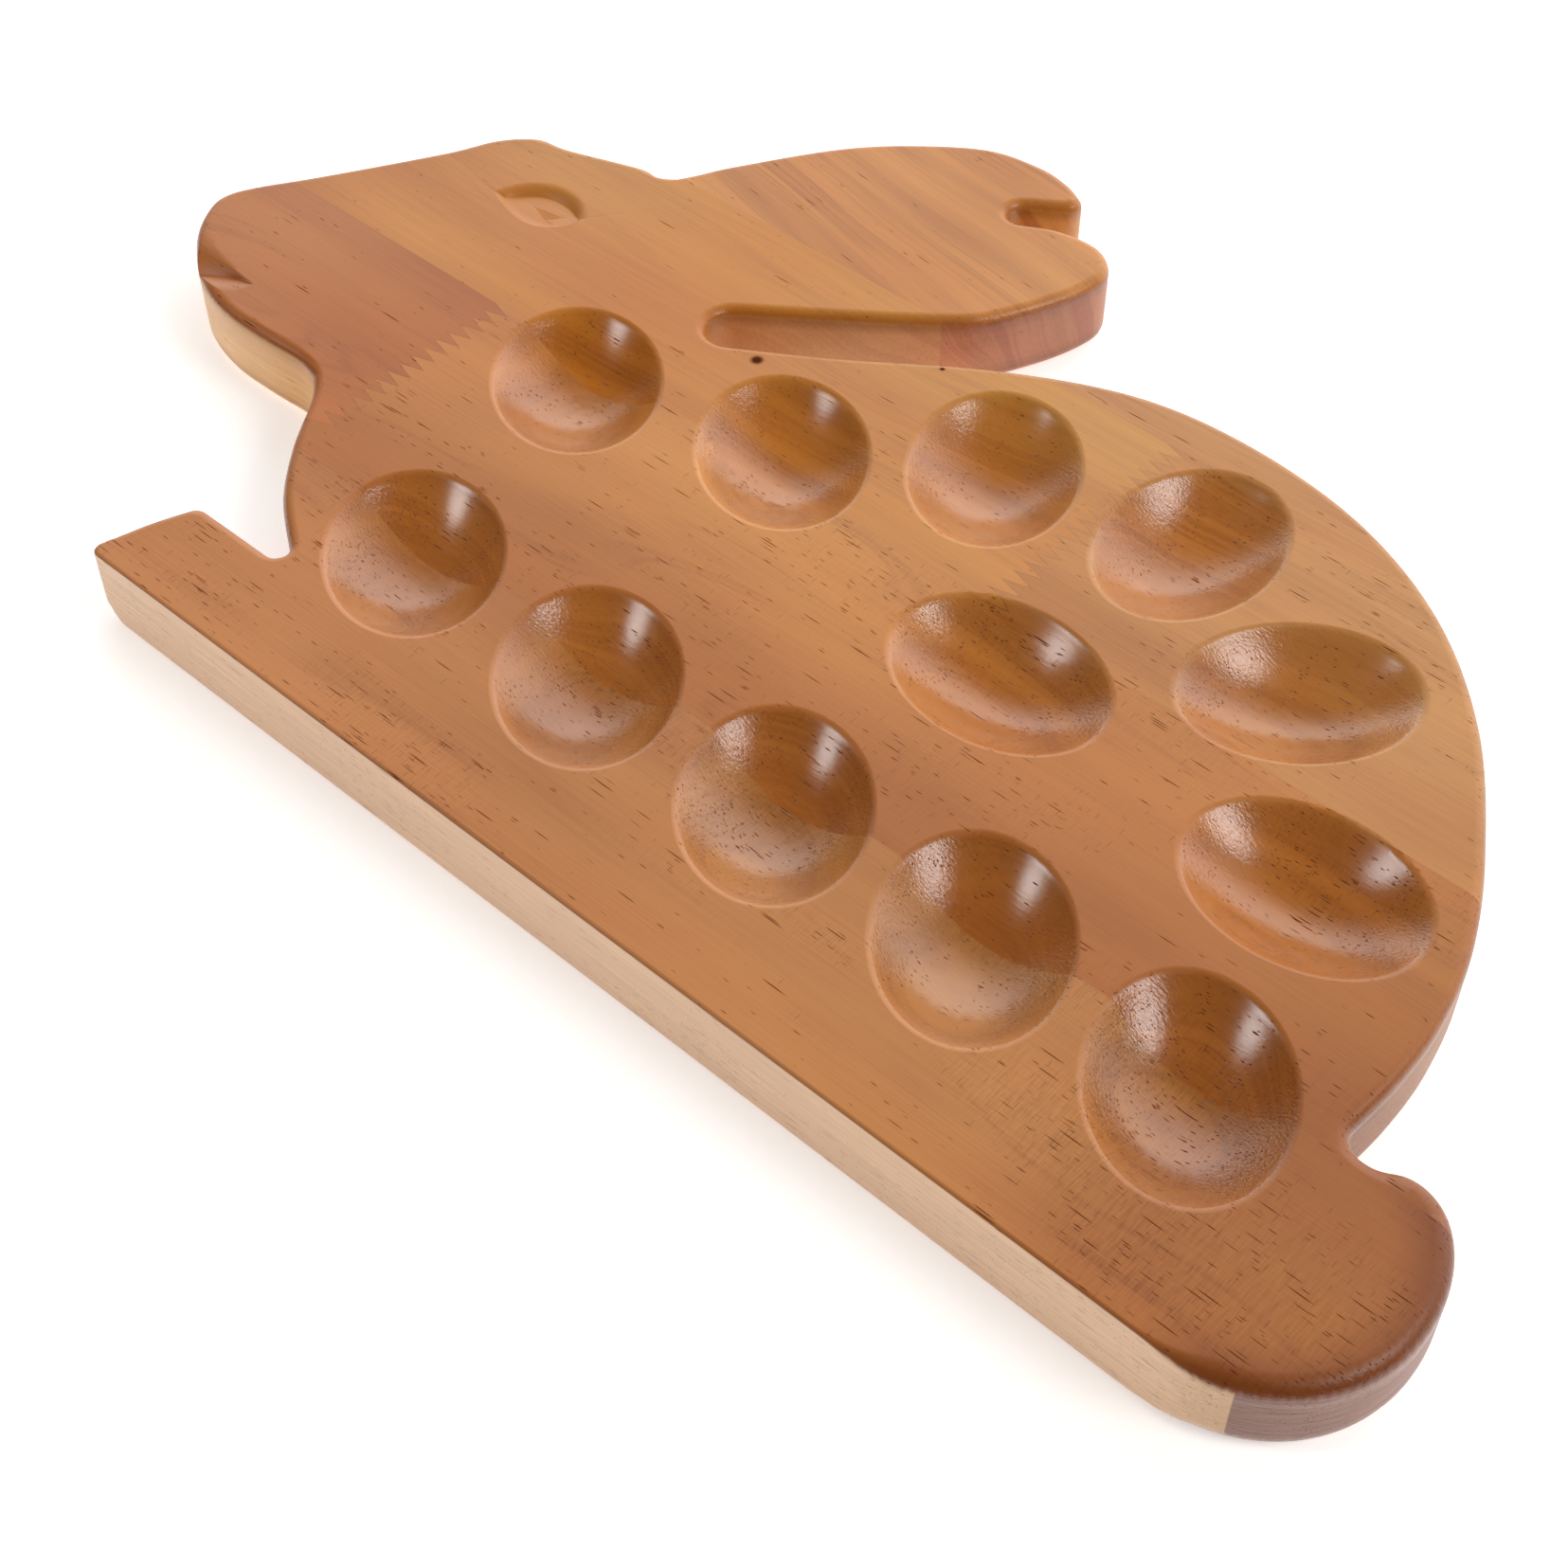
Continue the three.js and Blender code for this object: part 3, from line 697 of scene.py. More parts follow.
def within(points, line):
    """Whether points lie inside a closed line: a level ray from each crosses the line an odd number of
    times."""
    start, end = line, np.roll(line, -1, 0)
    inside = np.zeros(len(points), bool)
    for part in np.array_split(np.arange(len(points)), CHUNKS):
        x, y = points[part, :1], points[part, 1:]
        spans = (start[:, 1] > y) != (end[:, 1] > y)
        rise = np.where(end[:, 1] == start[:, 1], 1, end[:, 1] - start[:, 1])
        reach = start[:, 0] + (y - start[:, 1]) / rise * (end[:, 0] - start[:, 0])
        inside[part] = (spans & (x < reach)).sum(1) % 2 == 1
    return inside


def triangles(points, edges, outline):
    """The constrained Delaunay triangles inside the outline, as places, corner indices and source
    indices."""
    found, _, faces, source, _, _ = delaunay_2d_cdt(
        points.tolist(), edges.tolist(), [], 1, PLACE_LEEWAY, True
    )
    places = np.array([tuple(v) for v in found])
    first = np.array([s[0] if s else -1 for s in source])
    faces = np.array(faces)
    return places, faces[within(places[faces].mean(1), outline)], first


def block_of(centres, pitch, reach):
    """The block that each place belongs to: by the glue line below it, then by the finger joint beside
    it."""
    lower, middle, upper = GLUE_LINES
    x, y = centres.T
    muzzle_x, rump_x = (finger_x(y, *joint, pitch, reach) for joint in (MUZZLE_JOINT, RUMP_JOINT))
    second, third, top = y > lower, y > middle, y > upper
    names = list(BLOCKS)
    number = np.full(len(x), names.index("base_stave"))
    for name, held in {
        "body_block": second, "muzzle_block": second & (x < muzzle_x) & (y > MUZZLE_JOINT_FOOT),
        "head_block": third & (x < rump_x), "rump_block": third & (x >= rump_x),
        "ear_block": top & (x < EAR_SIDE_X), "back_block": top & (x >= EAR_SIDE_X),
    }.items():
        number[held] = names.index(name)
    return number


def corner_normals(places, faces):
    """Normals at the corners: the sum of the neighbouring faces' cross products, made unit length."""
    a, b, c = (places[faces[:, k]] for k in range(3))
    face = np.cross(b - a, c - a)
    total = np.zeros_like(places)
    for k in range(3):
        for axis in range(3):
            total[:, axis] += np.bincount(faces[:, k], face[:, axis], len(places))
    return total / np.linalg.norm(total, axis=1)[:, None]


@lru_cache(maxsize=2)
def board_sheets(thickness, curved, crisp, tail, toe, length, width, depth, rim, eye, mouth, pitch, reach):
    """The whole board's upper and lower faces as triangles over the plan, each with its height and normals.
    The upper height is the thickness less a quarter circle of the edge distance, less wells and carving."""
    line = along(outline_curve(), OUTLINE_STEP, (*GLUE_LINES, MUZZLE_JOINT_FOOT))
    radius = edge_round(line, curved, crisp, tail)
    normal = inward(line)
    joints = [divided(j) for j in joint_lines(line, pitch, reach)]
    shared = np.vstack([line, *joints])
    ring = np.arange(len(line))
    edges = [np.column_stack([ring, np.roll(ring, -1)])]
    start = len(line)
    for joint in joints:
        row = np.arange(start, start + len(joint))
        edges.append(np.column_stack([row[:-1], row[1:]]))
        start += len(joint)
    shared, where = np.unique(np.round(shared, 4), axis=0, return_inverse=True)
    edges = where.ravel()[np.vstack(edges)]
    edges = edges[edges[:, 0] != edges[:, 1]]
    rim_places = where.ravel()[:len(line)]
    on_line = np.zeros(len(shared), bool)
    on_line[rim_places] = True
    outward = np.zeros((len(shared), 3))
    outward[rim_places, :2] = -normal
    crossing = np.vstack(joints)

    def sheet(turns, radius, *extra):
        """Triangles over the plan, with rows along the arris, and how far it drops each place."""
        rows = [line + normal * (radius * (1 - np.cos(np.radians(t))))[:, None] for t in turns]
        loose = np.vstack([*rows, *extra])
        gap = np.concatenate([
            np.hypot(*(part[:, None] - crossing[None]).transpose(2, 0, 1)).min(1)
            for part in np.array_split(loose, CHUNKS)
        ])
        places, faces, source = triangles(np.vstack([shared, loose[gap > JOINT_CLEARANCE]]), edges, line)
        drop_at, round_at = (np.concatenate(v) for v in zip(*(
            nearest(part, line, radius) for part in np.array_split(places, CHUNKS)
        )))
        bound = (source >= 0) & (source < len(shared))
        edge = bound & on_line[np.where(bound, source, 0)]
        drop_at = np.where(edge, 0, np.maximum(drop_at, 0))
        left = np.clip(1 - drop_at / round_at, 0, 1)
        drop = round_at * (1 - np.sqrt(np.clip(1 - left ** 2, 0, 1)))
        return places, faces, np.where(bound, source, -1), edge, drop, left

    def finished(flat, height, faces, source, edge, side, level, plain, arris, bowl):
        """A sheet with its faces turned to its side, and normals that are upright where it is level and
        point outward along its plain rim."""
        places = np.column_stack([flat, height])
        a, b, c = (places[faces[:, k]] for k in range(3))
        turned = side * np.cross(b - a, c - a)[:, 2] < 0
        faces[turned] = faces[turned][:, ::-1]
        normals = corner_normals(places, faces)
        normals[level] = (0, 0, side)
        normals[plain] = outward[source[plain]]
        return {
            "places": places, "faces": faces, "source": source, "edge": edge, "normals": normals,
            "arris": arris, "bowl": bowl,
        }

    inner = mouth_places()
    inside, _ = nearest(inner, line, radius)
    extra = well_places(depth, rim, length, width), eye_places(), inner[inside > RIM_CLEARANCE]
    flat, faces, source, edge, drop, left = sheet(TOP_TURNS, radius, *extra)
    wells = well_depth(flat, depth, rim, length, width)
    # The eye's depth, and how far its wall and pupil are darkened by painted shade
    carved, stained = eye_depth(flat, eye)
    gouge = mouth_depth(flat, mouth)
    height = thickness - np.maximum(np.maximum(drop, gouge), wells + carved)
    # The arris mask darkens the arrises, by stain and painted shade, and carries the painted shade of the
    # mouth's gouge and of the eye
    arris = np.maximum(np.where(gouge > drop, MOUTH_PAINTED_SHADE, left ** 2), EYE_PAINTED_SHADE * stained)
    upper = finished(
        flat, height, faces, source, edge, 1, height > thickness - LEVEL_LEEWAY, edge & (gouge < drop),
        arris, wells / depth,
    )
    radius = radius + (toe - radius) * toe_share(line)
    flat, faces, source, edge, drop, left = sheet(UNDER_TURNS, radius)
    lower = finished(
        flat, drop, faces, source, edge, -1, drop < LEVEL_LEEWAY, edge, left ** 2, np.zeros(len(flat))
    )
    return upper, lower, outward


def rim_edges(faces, count):
    """The edges of a patch that only one of its triangles has, in that triangle's turning sense."""
    edges = np.vstack([faces[:, [0, 1]], faces[:, [1, 2]], faces[:, [2, 0]]])
    key = np.sort(edges, 1) @ np.array([count, 1])
    _, first, times = np.unique(key, return_index=True, return_counts=True)
    return edges[first[times == 1]]


def block_mesh(name, sizes, origin):
    """One wooden block as a closed mesh: its share of the upper and lower faces, and walls of three bands
    between their rims, carried straight down from each rim edge."""
    upper, lower, outward = board_sheets(*sizes)
    number = list(BLOCKS).index(name)
    parts, rims, start = [], [], 0
    for sheet in (upper, lower):
        faces = sheet["faces"]
        mine = faces[block_of(sheet["places"][faces, :2].mean(1), *sizes[-2:]) == number]
        used, index = np.unique(mine, return_inverse=True)
        local = index.reshape(mine.shape)
        by_source = np.full(len(outward), -1)
        has = sheet["source"][used] >= 0
        by_source[sheet["source"][used][has]] = np.flatnonzero(has) + start
        rims.append((rim_edges(local, len(used)), used, by_source))
        parts.append({key: sheet[key][used] for key in ("places", "normals", "arris", "bowl", "edge")})
        parts[-1]["faces"] = local + start
        start += len(used)
    whole = {key: np.concatenate([part[key] for part in parts]) for key in parts[0]}
    rim, used, _ = rims[0]
    below = rims[1][2]
    rim_local = np.unique(rim)
    rim_ids = upper["source"][used][rim_local]
    if (rim_ids < 0).any() or (below[rim_ids] < 0).any():
        raise RuntimeError(f"{name}: the rims of its two faces don't match")
    tops, floors = whole["places"][rim_local], whole["places"][below[rim_ids]]
    bands = [tops - [0, 0, WALL_BAND], floors + [0, 0, WALL_BAND]]
    row = np.arange(len(rim_local))
    slot_of = np.full(len(used), -1)
    slot_of[rim_local] = row
    levels = np.stack([rim_local, start + row, start + len(row) + row, below[rim_ids]])
    a, b = slot_of[rim.T]
    walls = np.concatenate([
        np.column_stack([levels[k, b], levels[k, a], levels[k + 1, a], levels[k + 1, b]]) for k in range(3)
    ])
    along_rim = tops[b] - tops[a]
    square = np.column_stack([along_rim[:, 1], -along_rim[:, 0], np.zeros(len(a))])
    square /= np.linalg.norm(square, axis=1)[:, None]
    outer = whole["edge"][rim].all(1)[:, None]
    facing_a, facing_b = (np.where(outer, outward[rim_ids[end]], square) for end in (a, b))
    wall_normals = np.tile(np.stack([facing_b, facing_a, facing_a, facing_b], 1), (3, 1, 1))
    places = np.vstack([whole["places"], *bands])
    faces = whole["faces"]
    corner_lines = np.vstack([whole["normals"][faces].reshape(-1, 3), wall_normals.reshape(-1, 3)])
    corners = np.concatenate([faces.ravel(), walls.ravel()])
    sides = np.repeat([3, 4], [len(faces), len(walls)])
    mesh = bpy.data.meshes.new(name)
    mesh.vertices.add(len(places))
    mesh.loops.add(len(corners))
    mesh.polygons.add(len(sides))
    mesh.vertices.foreach_set("co", (places * MM + origin).astype(np.float32).ravel())
    mesh.loops.foreach_set("vertex_index", corners.astype(np.int32))
    mesh.polygons.foreach_set("loop_start", np.concatenate([[0], np.cumsum(sides)[:-1]]).astype(np.int32))
    mesh.update(calc_edges=True)
    mesh.normals_split_custom_set(corner_lines.tolist())
    for key in ("arris", "bowl"):
        values = np.concatenate([whole[key], np.zeros(2 * len(row))])
        mesh.attributes.new(key, "FLOAT", "POINT").data.foreach_set("value", values.astype(np.float32))
    return mesh


def linear(code):
    """A colour code of six hexadecimal digits as linear red, green, blue and a full alpha."""
    value = np.array([int(code[k:k + 2], 16) for k in (0, 2, 4)]) / 255
    value = np.where(value <= 0.04045, value / 12.92, ((value + 0.055) / 1.055) ** 2.4)
    return (*value.tolist(), 1.0)


class Wiring:
    """A shader's nodes, with a short word for each kind of node that the woods and the lights are wired
    from."""

    def __init__(self, tree):
        tree.nodes.clear()
        self.tree = tree

    def add(self, kind, sockets=None, **settings):
        """A node's outputs, its settings made and its sockets filled: a socket is linked, a value set."""
        made = self.tree.nodes.new("ShaderNode" + kind)
        for key, value in settings.items():
            setattr(made, key, value)
        for key, value in (sockets or {}).items():
            if isinstance(value, bpy.types.NodeSocket):
                self.tree.links.new(value, made.inputs[key])
            else:
                made.inputs[key].default_value = value
        return made.outputs

    def math(self, operation, first, second=0.0, third=0.0):
        """The result of a math node."""
        return self.add("Math", {0: first, 1: second, 2: third}, operation=operation)[0]

    def times(self, first, second):
        """A product."""
        return self.math("MULTIPLY", first, second)

    def fold(self, value, factor, rest):
        """A value times a factor, plus the rest."""
        return self.math("MULTIPLY_ADD", value, factor, rest)

    def larger(self, first, second):
        """The larger of two values."""
        return self.math("MAXIMUM", first, second)

    def centred(self, value):
        """A value less one half."""
        return self.math("SUBTRACT", value, 0.5)

    def rest(self, share):
        """What a share leaves of one."""
        return self.math("SUBTRACT", 1.0, share)

    def step(self, value, low, high, start=0.0, end=1.0):
        """A smooth step of a value: start below low, end above high."""
        sockets = {"Value": value, "From Min": low, "From Max": high, "To Min": start, "To Max": end}
        return self.add("MapRange", sockets, interpolation_type="SMOOTHSTEP")["Result"]

    def mixed(self, share, first, second, blend="MIX"):
        """Two colours mixed by a share."""
        return self.add("Mix", {0: share, 6: first, 7: second}, data_type="RGBA", blend_type=blend)[2]

    def tint(self, colour, factor, share=1.0):
        """A colour multiplied by another, as far as a share says."""
        return self.mixed(share, colour, factor, "MULTIPLY")

    def stretched(self, grain, lengths, shift):
        """The grain's places divided by a length along it, across it and through the board, and shifted."""
        scale = [1 / length for length in lengths]
        sockets = {"Vector": grain, "Location": [share * shift for share in SHIFT_SHARES], "Scale": scale}
        return self.add("Mapping", sockets)["Vector"]

    def cloudy(self, place, detail=2.0, roughness=0.5):
        """Smooth noise between 0 and 1 at a place."""
        sockets = {"Vector": place, "Scale": 1.0, "Detail": detail, "Roughness": roughness}
        return self.add("TexNoise", sockets)["Fac"]

    def strokes(self, place, share):
        """Short strokes: cores of random cells, of which only a share is kept, each with its own length."""
        cells = self.add("TexVoronoi", {"Vector": place, "Scale": 1.0, "Randomness": 1.0})
        chance = self.add("SeparateColor", {"Color": cells["Color"]})
        kept = self.math("LESS_THAN", chance["Red"], share)
        reach = self.fold(chance["Green"], STROKE_REACH, LEAST_REACH * STROKE_REACH)
        depth = self.math("DIVIDE", cells["Distance"], reach)
        return self.times(self.step(depth, 1.0, STROKE_CORE), kept)

    def spot(self, plan, centre, radius, core=0.3):
        """A round mark on the plan that fades from a share of its radius out to the whole."""
        sockets = {"Vector": plan, "Location": (-centre[0], -centre[1], 0), "Scale": (1, 1, 0)}
        offset = self.add("Mapping", sockets)["Vector"]
        away = self.add("VectorMath", {0: offset}, operation="LENGTH")["Value"]
        return self.step(away, radius, core * radius)

    def graded(self, share, stops, interpolation="LINEAR"):
        """A colour read off a ramp through the stops, each a place between 0 and 1 and its colour."""
        colour = self.add("ValToRGB", {"Fac": share})["Color"]
        ramp = colour.node.color_ramp
        ramp.interpolation = interpolation
        for _ in stops[2:]:
            ramp.elements.new(0.5)
        for mark, (place, shade) in zip(ramp.elements, stops):
            mark.position, mark.color = place, shade
        return colour

    def toned(self, axis, stops):
        """A tint that changes smoothly along an axis through the given places."""
        low, high = stops[0][0], stops[-1][0]
        share = self.add("MapRange", {"Value": axis, "From Min": low, "From Max": high})["Result"]
        shares = [((place - low) / (high - low), (*tint, 1)) for place, tint in stops]
        return self.graded(share, shares, "EASE")

    def finger_seam(self, x, y, joint, pitch, reach):
        """A dark line along a finger joint: how close x is to a zigzag of y, between the joint's two
        ends."""
        middle, low, high = joint
        tooth = (high - low) / (2 * round((high - low) / pitch))
        turn = self.math("DIVIDE", self.math("SUBTRACT", y, low), tooth)
        line = self.fold(self.math("PINGPONG", turn, 1.0), reach, middle - reach / 2)
        away = self.math("ABSOLUTE", self.math("SUBTRACT", x, line))
        inside = self.math("COMPARE", y, (low + high) / 2, (high - low) / 2)
        return self.times(self.step(away, *SEAM_EDGE), inside)


def wood_material(name, finish, origin, pitch, reach):
    """Stained and lacquered wood of one block, darkened in the wells and along the arrises partly by stain
    and partly by painted shade, darkened in the carving by painted shade, and lighter on the walls of the
    head's slot by painted light. Tone, growth rings, fibres and pores all follow the block's own grain, which
    runs along the base edge and through the board's thickness."""
    block = BLOCKS[name]
    seed = block["seed"]
    ring_tilt, ring_pitch, ring_swing, ring_depth = block["rings"]
    tone = np.array(getattr(finish, block["tone"]))
    material = bpy.data.materials.new(block["slot"])
    material.use_nodes = True
    wire = Wiring(material.node_tree)

    place = wire.add("TexCoord")["Object"]
    sockets = {"Vector": place, "Location": (-origin / MM).tolist(), "Scale": (1 / MM,) * 3}
    plan = wire.add("Mapping", sockets)["Vector"]
    x, y, _ = wire.add("SeparateXYZ", {"Vector": plan})
    sockets = {"Vector": plan, "Rotation": (0, 0, np.radians(block.get("grain_turn", 0)))}
    grain = wire.add("Mapping", sockets)["Vector"]
    _, fibre_y, fibre_z = wire.add("SeparateXYZ", {"Vector": grain})
    normal_x, normal_y, normal_z = wire.add("SeparateXYZ", {"Vector": wire.add("NewGeometry")["Normal"]})
    end_facing = wire.math("ABSOLUTE", normal_x)
    wall = wire.step(normal_z, *WALL_RISE)
    arris, bowl = (wire.add("Attribute", attribute_name=key)["Fac"] for key in ("arris", "bowl"))
    sunk = wire.step(bowl, *SUNK_BOWL)

    def spread(key):
        lengths, shift = FIGURES[key]
        return wire.stretched(grain, lengths, seed + shift)

    def figure(key):
        return wire.cloudy(spread(key))

    # Growth rings, fibres, pores and the ticks of sanding
    tilt = np.radians(ring_tilt)
    across = wire.times(fibre_y, np.cos(tilt) / ring_pitch)
    across = wire.fold(fibre_z, np.sin(tilt) / ring_pitch, across)
    across = wire.fold(figure("drift"), ring_swing, across)
    sockets = {
        "W": wire.math("ADD", across, seed), "Scale": 1.0,
        "Detail": FINE_DETAIL, "Roughness": FINE_ROUGHNESS,
    }
    rings = wire.add("TexNoise", sockets, noise_dimensions="1D")["Fac"]
    fibre = wire.cloudy(spread("fibre"), FINE_DETAIL, FINE_ROUGHNESS)
    patches = wire.step(figure("patches"), *PATCH_EDGE)
    open_share = finish.pore_share * block["pores"]
    share = wire.fold(patches, PATCHED_PORES * open_share, EVEN_PORES * open_share)
    share = wire.fold(sunk, WELL_PORES, share)
    pores = wire.larger(*(wire.strokes(spread(key), share) for key in ("pores", "short_pores")))
    ticks = wire.strokes(spread("ticks"), wire.times(patches, block["sanding"]))

    # Shade, tone and the tints along and across the staves
    ringed = wire.centred(rings)
    brushed = wire.times(wire.centred(figure("brushing")), patches)
    brushed = wire.times(brushed, wire.step(x, *BRUSHED_X, LEAST_BRUSHED))
    late = wire.times(wire.step(wire.math("ABSOLUTE", ringed), *LATE_WOOD_EDGE), patches)
    shade = SHADE_STOPS[1]
    for mark, weight in (
        (wire.centred(fibre), FIBRE_SHADE), (wire.centred(figure("mottle")), MOTTLE_SHADE),
        (ringed, ring_depth), (wire.times(ringed, sunk), WELL_RING_SHADE),
        (brushed, BRUSHED_SHADE * block["sanding"]), (late, -finish.ring_stain * ring_depth),
    ):
        shade = wire.fold(mark, weight, shade)
    tones = tone * DARK_TINT, tone, np.minimum(tone * LIGHT_TINT, 1)
    colour = wire.graded(shade, list(zip(SHADE_STOPS, tones)))
    flush = wire.step(figure("flush"), *FLUSH_EDGE)
    colour = wire.tint(colour, wire.mixed(flush, *FLUSH_TINTS))
    level = wire.step(bowl, *SUNK_BOWL, 1.0, WELL_CROSSING)
    for key, axis, share in (("toning", x, 1.0), ("crossing", y, level)):
        if key in block:
            colour = wire.tint(colour, wire.toned(axis, block[key]), share)

    # Stain and painted shade in the wells and along the arrises, painted shade in the eye and the mouth, the
    # tail's stain, sawn walls with painted light in the head's slot, and the dark marks over all
    # Wells darkened towards the stain tone: partly stain, partly painted shade
    colour = wire.tint(colour, finish.stain_and_shade_tone, wire.times(sunk, finish.bowl_stain_and_shade))
    if "well" in block:
        colour = wire.tint(colour, (*block["well"], 1), sunk)
    # Arrises darkened towards the stain tone, partly stain and partly painted shade; the eye's wall and pupil
    # and the mouth's gouge, in the same mask, are darkened as painted shade
    colour = wire.tint(colour, finish.stain_and_shade_tone, wire.times(arris, finish.edge_stain_and_shade))
    end_grain = wire.step(end_facing, *END_GRAIN_TURN, 0.0, block["ends"])
    if block.get("pale_wall"):
        inner = wire.spot(plan, (BASE_LENGTH, TAIL_RADIUS), TAIL_RADIUS, TAIL_CORE)
        outer = wire.times(wire.rest(inner), wire.step(x, *TAIL_STAIN_X))
        colour = wire.tint(colour, finish.stain_and_shade_tone, wire.times(outer, TAIL_STAIN))
        face = wire.times(wall, wire.step(normal_y, *PALE_FACE_TURN))
        beyond = wire.step(x, PALE_WALL_END - PALE_WALL_BLUR, PALE_WALL_END + PALE_WALL_BLUR)
        pale = wire.tint(finish.pale_tone, wire.fold(fibre, *PALE_FIBRES))
        pale = wire.tint(pale, wire.toned(x, PALE_WALL_TONING))
        colour = wire.mixed(wire.times(face, wire.rest(beyond)), colour, pale)
        end_grain = wire.larger(end_grain, beyond)
    else:
        # Sawn walls tinted along the board; the head's lighter tint along its slot is painted light
        colour = wire.tint(colour, wire.toned(x, block["wall"]), wall)
        streaks = wire.times(wire.step(rings, *STRIPE_EDGE), block.get("stripes", WALL_STRIPES))
        colour = wire.tint(colour, STRIPE_TINT, wire.times(streaks, wall))
    lined = wire.fold(figure("end_lines"), *END_LINES)
    colour = wire.mixed(wire.times(end_grain, wall), colour, wire.tint(finish.end_tone, lined))
    marked = wire.fold(wall, WALL_PORE_MARK - PORE_MARK, PORE_MARK)
    dark_marks = [wire.times(pores, marked), wire.times(ticks, TICK_MARK)]
    if "joint" in block:
        seam = wire.finger_seam(x, y, block["joint"], pitch, reach)
        seam = wire.times(seam, wire.step(figure("seam_breaks"), *SEAM_BREAK_EDGE))
        dark_marks.append(wire.times(seam, finish.seam_stain))
    for centre, radius in block.get("knots", ()):
        dark_marks.append(wire.spot(plan, centre, radius))
        pores = wire.larger(pores, dark_marks[-1])
    for mark in dark_marks:
        colour = wire.mixed(mark, colour, finish.pore_tone)

    # Gloss and relief
    worked = wire.larger(wire.step(arris, *GLOSSY_ARRIS, 0.0, ARRIS_GLOSS), wire.step(bowl, *GLOSSY_BOWL))
    cut_ends = wire.step(end_facing, *CUT_END_TURN)
    relief = wire.fold(cut_ends, CUT_END_RELIEF * finish.grain_relief, GRIT_RELIEF * finish.grain_relief)
    height = wire.times(figure("grit"), relief)
    height = wire.fold(fibre, FIBRE_RELIEF * finish.grain_relief, height)
    height = wire.fold(pores, -finish.grain_relief, height)
    bump = wire.add("Bump", {"Height": height, "Strength": 1.0, "Distance": 1.0})["Normal"]
    sockets = {"Value": worked, "To Min": finish.face_roughness, "To Max": finish.well_roughness}
    rough = wire.fold(wire.centred(fibre), FIBRE_ROUGHNESS, wire.add("MapRange", sockets)["Result"])
    rough = wire.fold(pores, PORE_ROUGHNESS, rough)
    coat = wire.times(wire.times(worked, wire.rest(pores)), finish.coat)
    shader = wire.add("BsdfPrincipled", {
        "Base Color": colour, "Roughness": rough, "Normal": bump, "IOR": LACQUER_INDEX,
        "Specular IOR Level": wire.step(pores, 0.0, 1.0, *SPECULAR_LEVELS), "Coat Weight": coat,
        "Coat Roughness": finish.coat_roughness, "Coat Normal": bump,
    })
    wire.add("OutputMaterial", {"Surface": shader["BSDF"]})
    return material


def make_blocks(context, *names):
    """Make blocks of the board with their wood, in place of their solids."""
    scene = context.scene
    sizes, finish = scene.egg_tray_sizes, scene.egg_tray_finish
    lengths = tuple(round(getattr(sizes, key) / MM, 4) for key in SIZE_KEYS)
    low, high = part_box("base_stave")
    origin = np.array([high.x - (BASE_LENGTH + TAIL_RADIUS) * MM, low.y, low.z])
    for name in names:
        title = f"{name}_wood"
        if title in bpy.data.objects:
            bpy.data.objects.remove(bpy.data.objects[title])
        mesh = block_mesh(name, lengths, origin)
        mesh.name = title
        mesh.materials.append(wood_material(name, finish, origin, *lengths[-2:]))
        piece = bpy.data.objects.new(title, mesh)
        scene.collection.objects.link(piece)
        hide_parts(name)
        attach(piece, "root")
    return {"FINISHED"}


def length_property(name, description, default):
    """A length in metres that a user may change."""
    return FloatProperty(
        name=name, description=description, default=default, min=0.0, unit="LENGTH", precision=5
    )


def tone_property(name, description, code):
    """A colour that a user may change."""
    return FloatVectorProperty(
        name=name, description=description, default=linear(code), subtype="COLOR", size=4, min=0.0, max=1.0
    )


def share_property(name, description, default):
    """A share between none and all."""
    return FloatProperty(
        name=name, description=description, default=default, min=0.0, max=1.0, subtype="FACTOR"
    )


def strength_property(name, description, default, unit="NONE"):
    """A strength of light, from none upwards."""
    return FloatProperty(name=name, description=description, default=default, min=0.0, unit=unit)


class BoardSizes(bpy.types.PropertyGroup):
    thickness: length_property("Thickness", "Thickness of the board", 0.020)
    edge_round: length_property("Edge Round", "Radius of the arrises along the curved outline", 0.0029)
    base_round: length_property("Base Round", "Radius of the arris along the straight base edge", 0.0009)
    tail_round: length_property("Tail Round", "Radius of the arris round the tail", 0.0042)
    toe_round: length_property("Toe Round", "Radius of the lower arris at the tip of the toe", 0.0065)
    well_length: length_property("Well Length", "Length of a well at the top face", 0.0528)
    well_width: length_property("Well Width", "Width of a well at the top face", 0.0402)
    well_depth: length_property("Well Depth", "Depth of a well in its middle", 0.0105)
    well_rim: length_property("Well Rim", "Height over which a well's rim is rounded", 0.0008)
    eye_depth: length_property("Eye Depth", "Depth of the eye under the upper lid", 0.0018)
    mouth_depth: length_property("Mouth Depth", "Depth of the mouth near the lip", 0.0032)
    finger_pitch: length_property("Finger Pitch", "Spacing of the fingers in a joint", 0.0038)
    finger_length: length_property("Finger Length", "Length of the fingers in a joint", 0.0063)


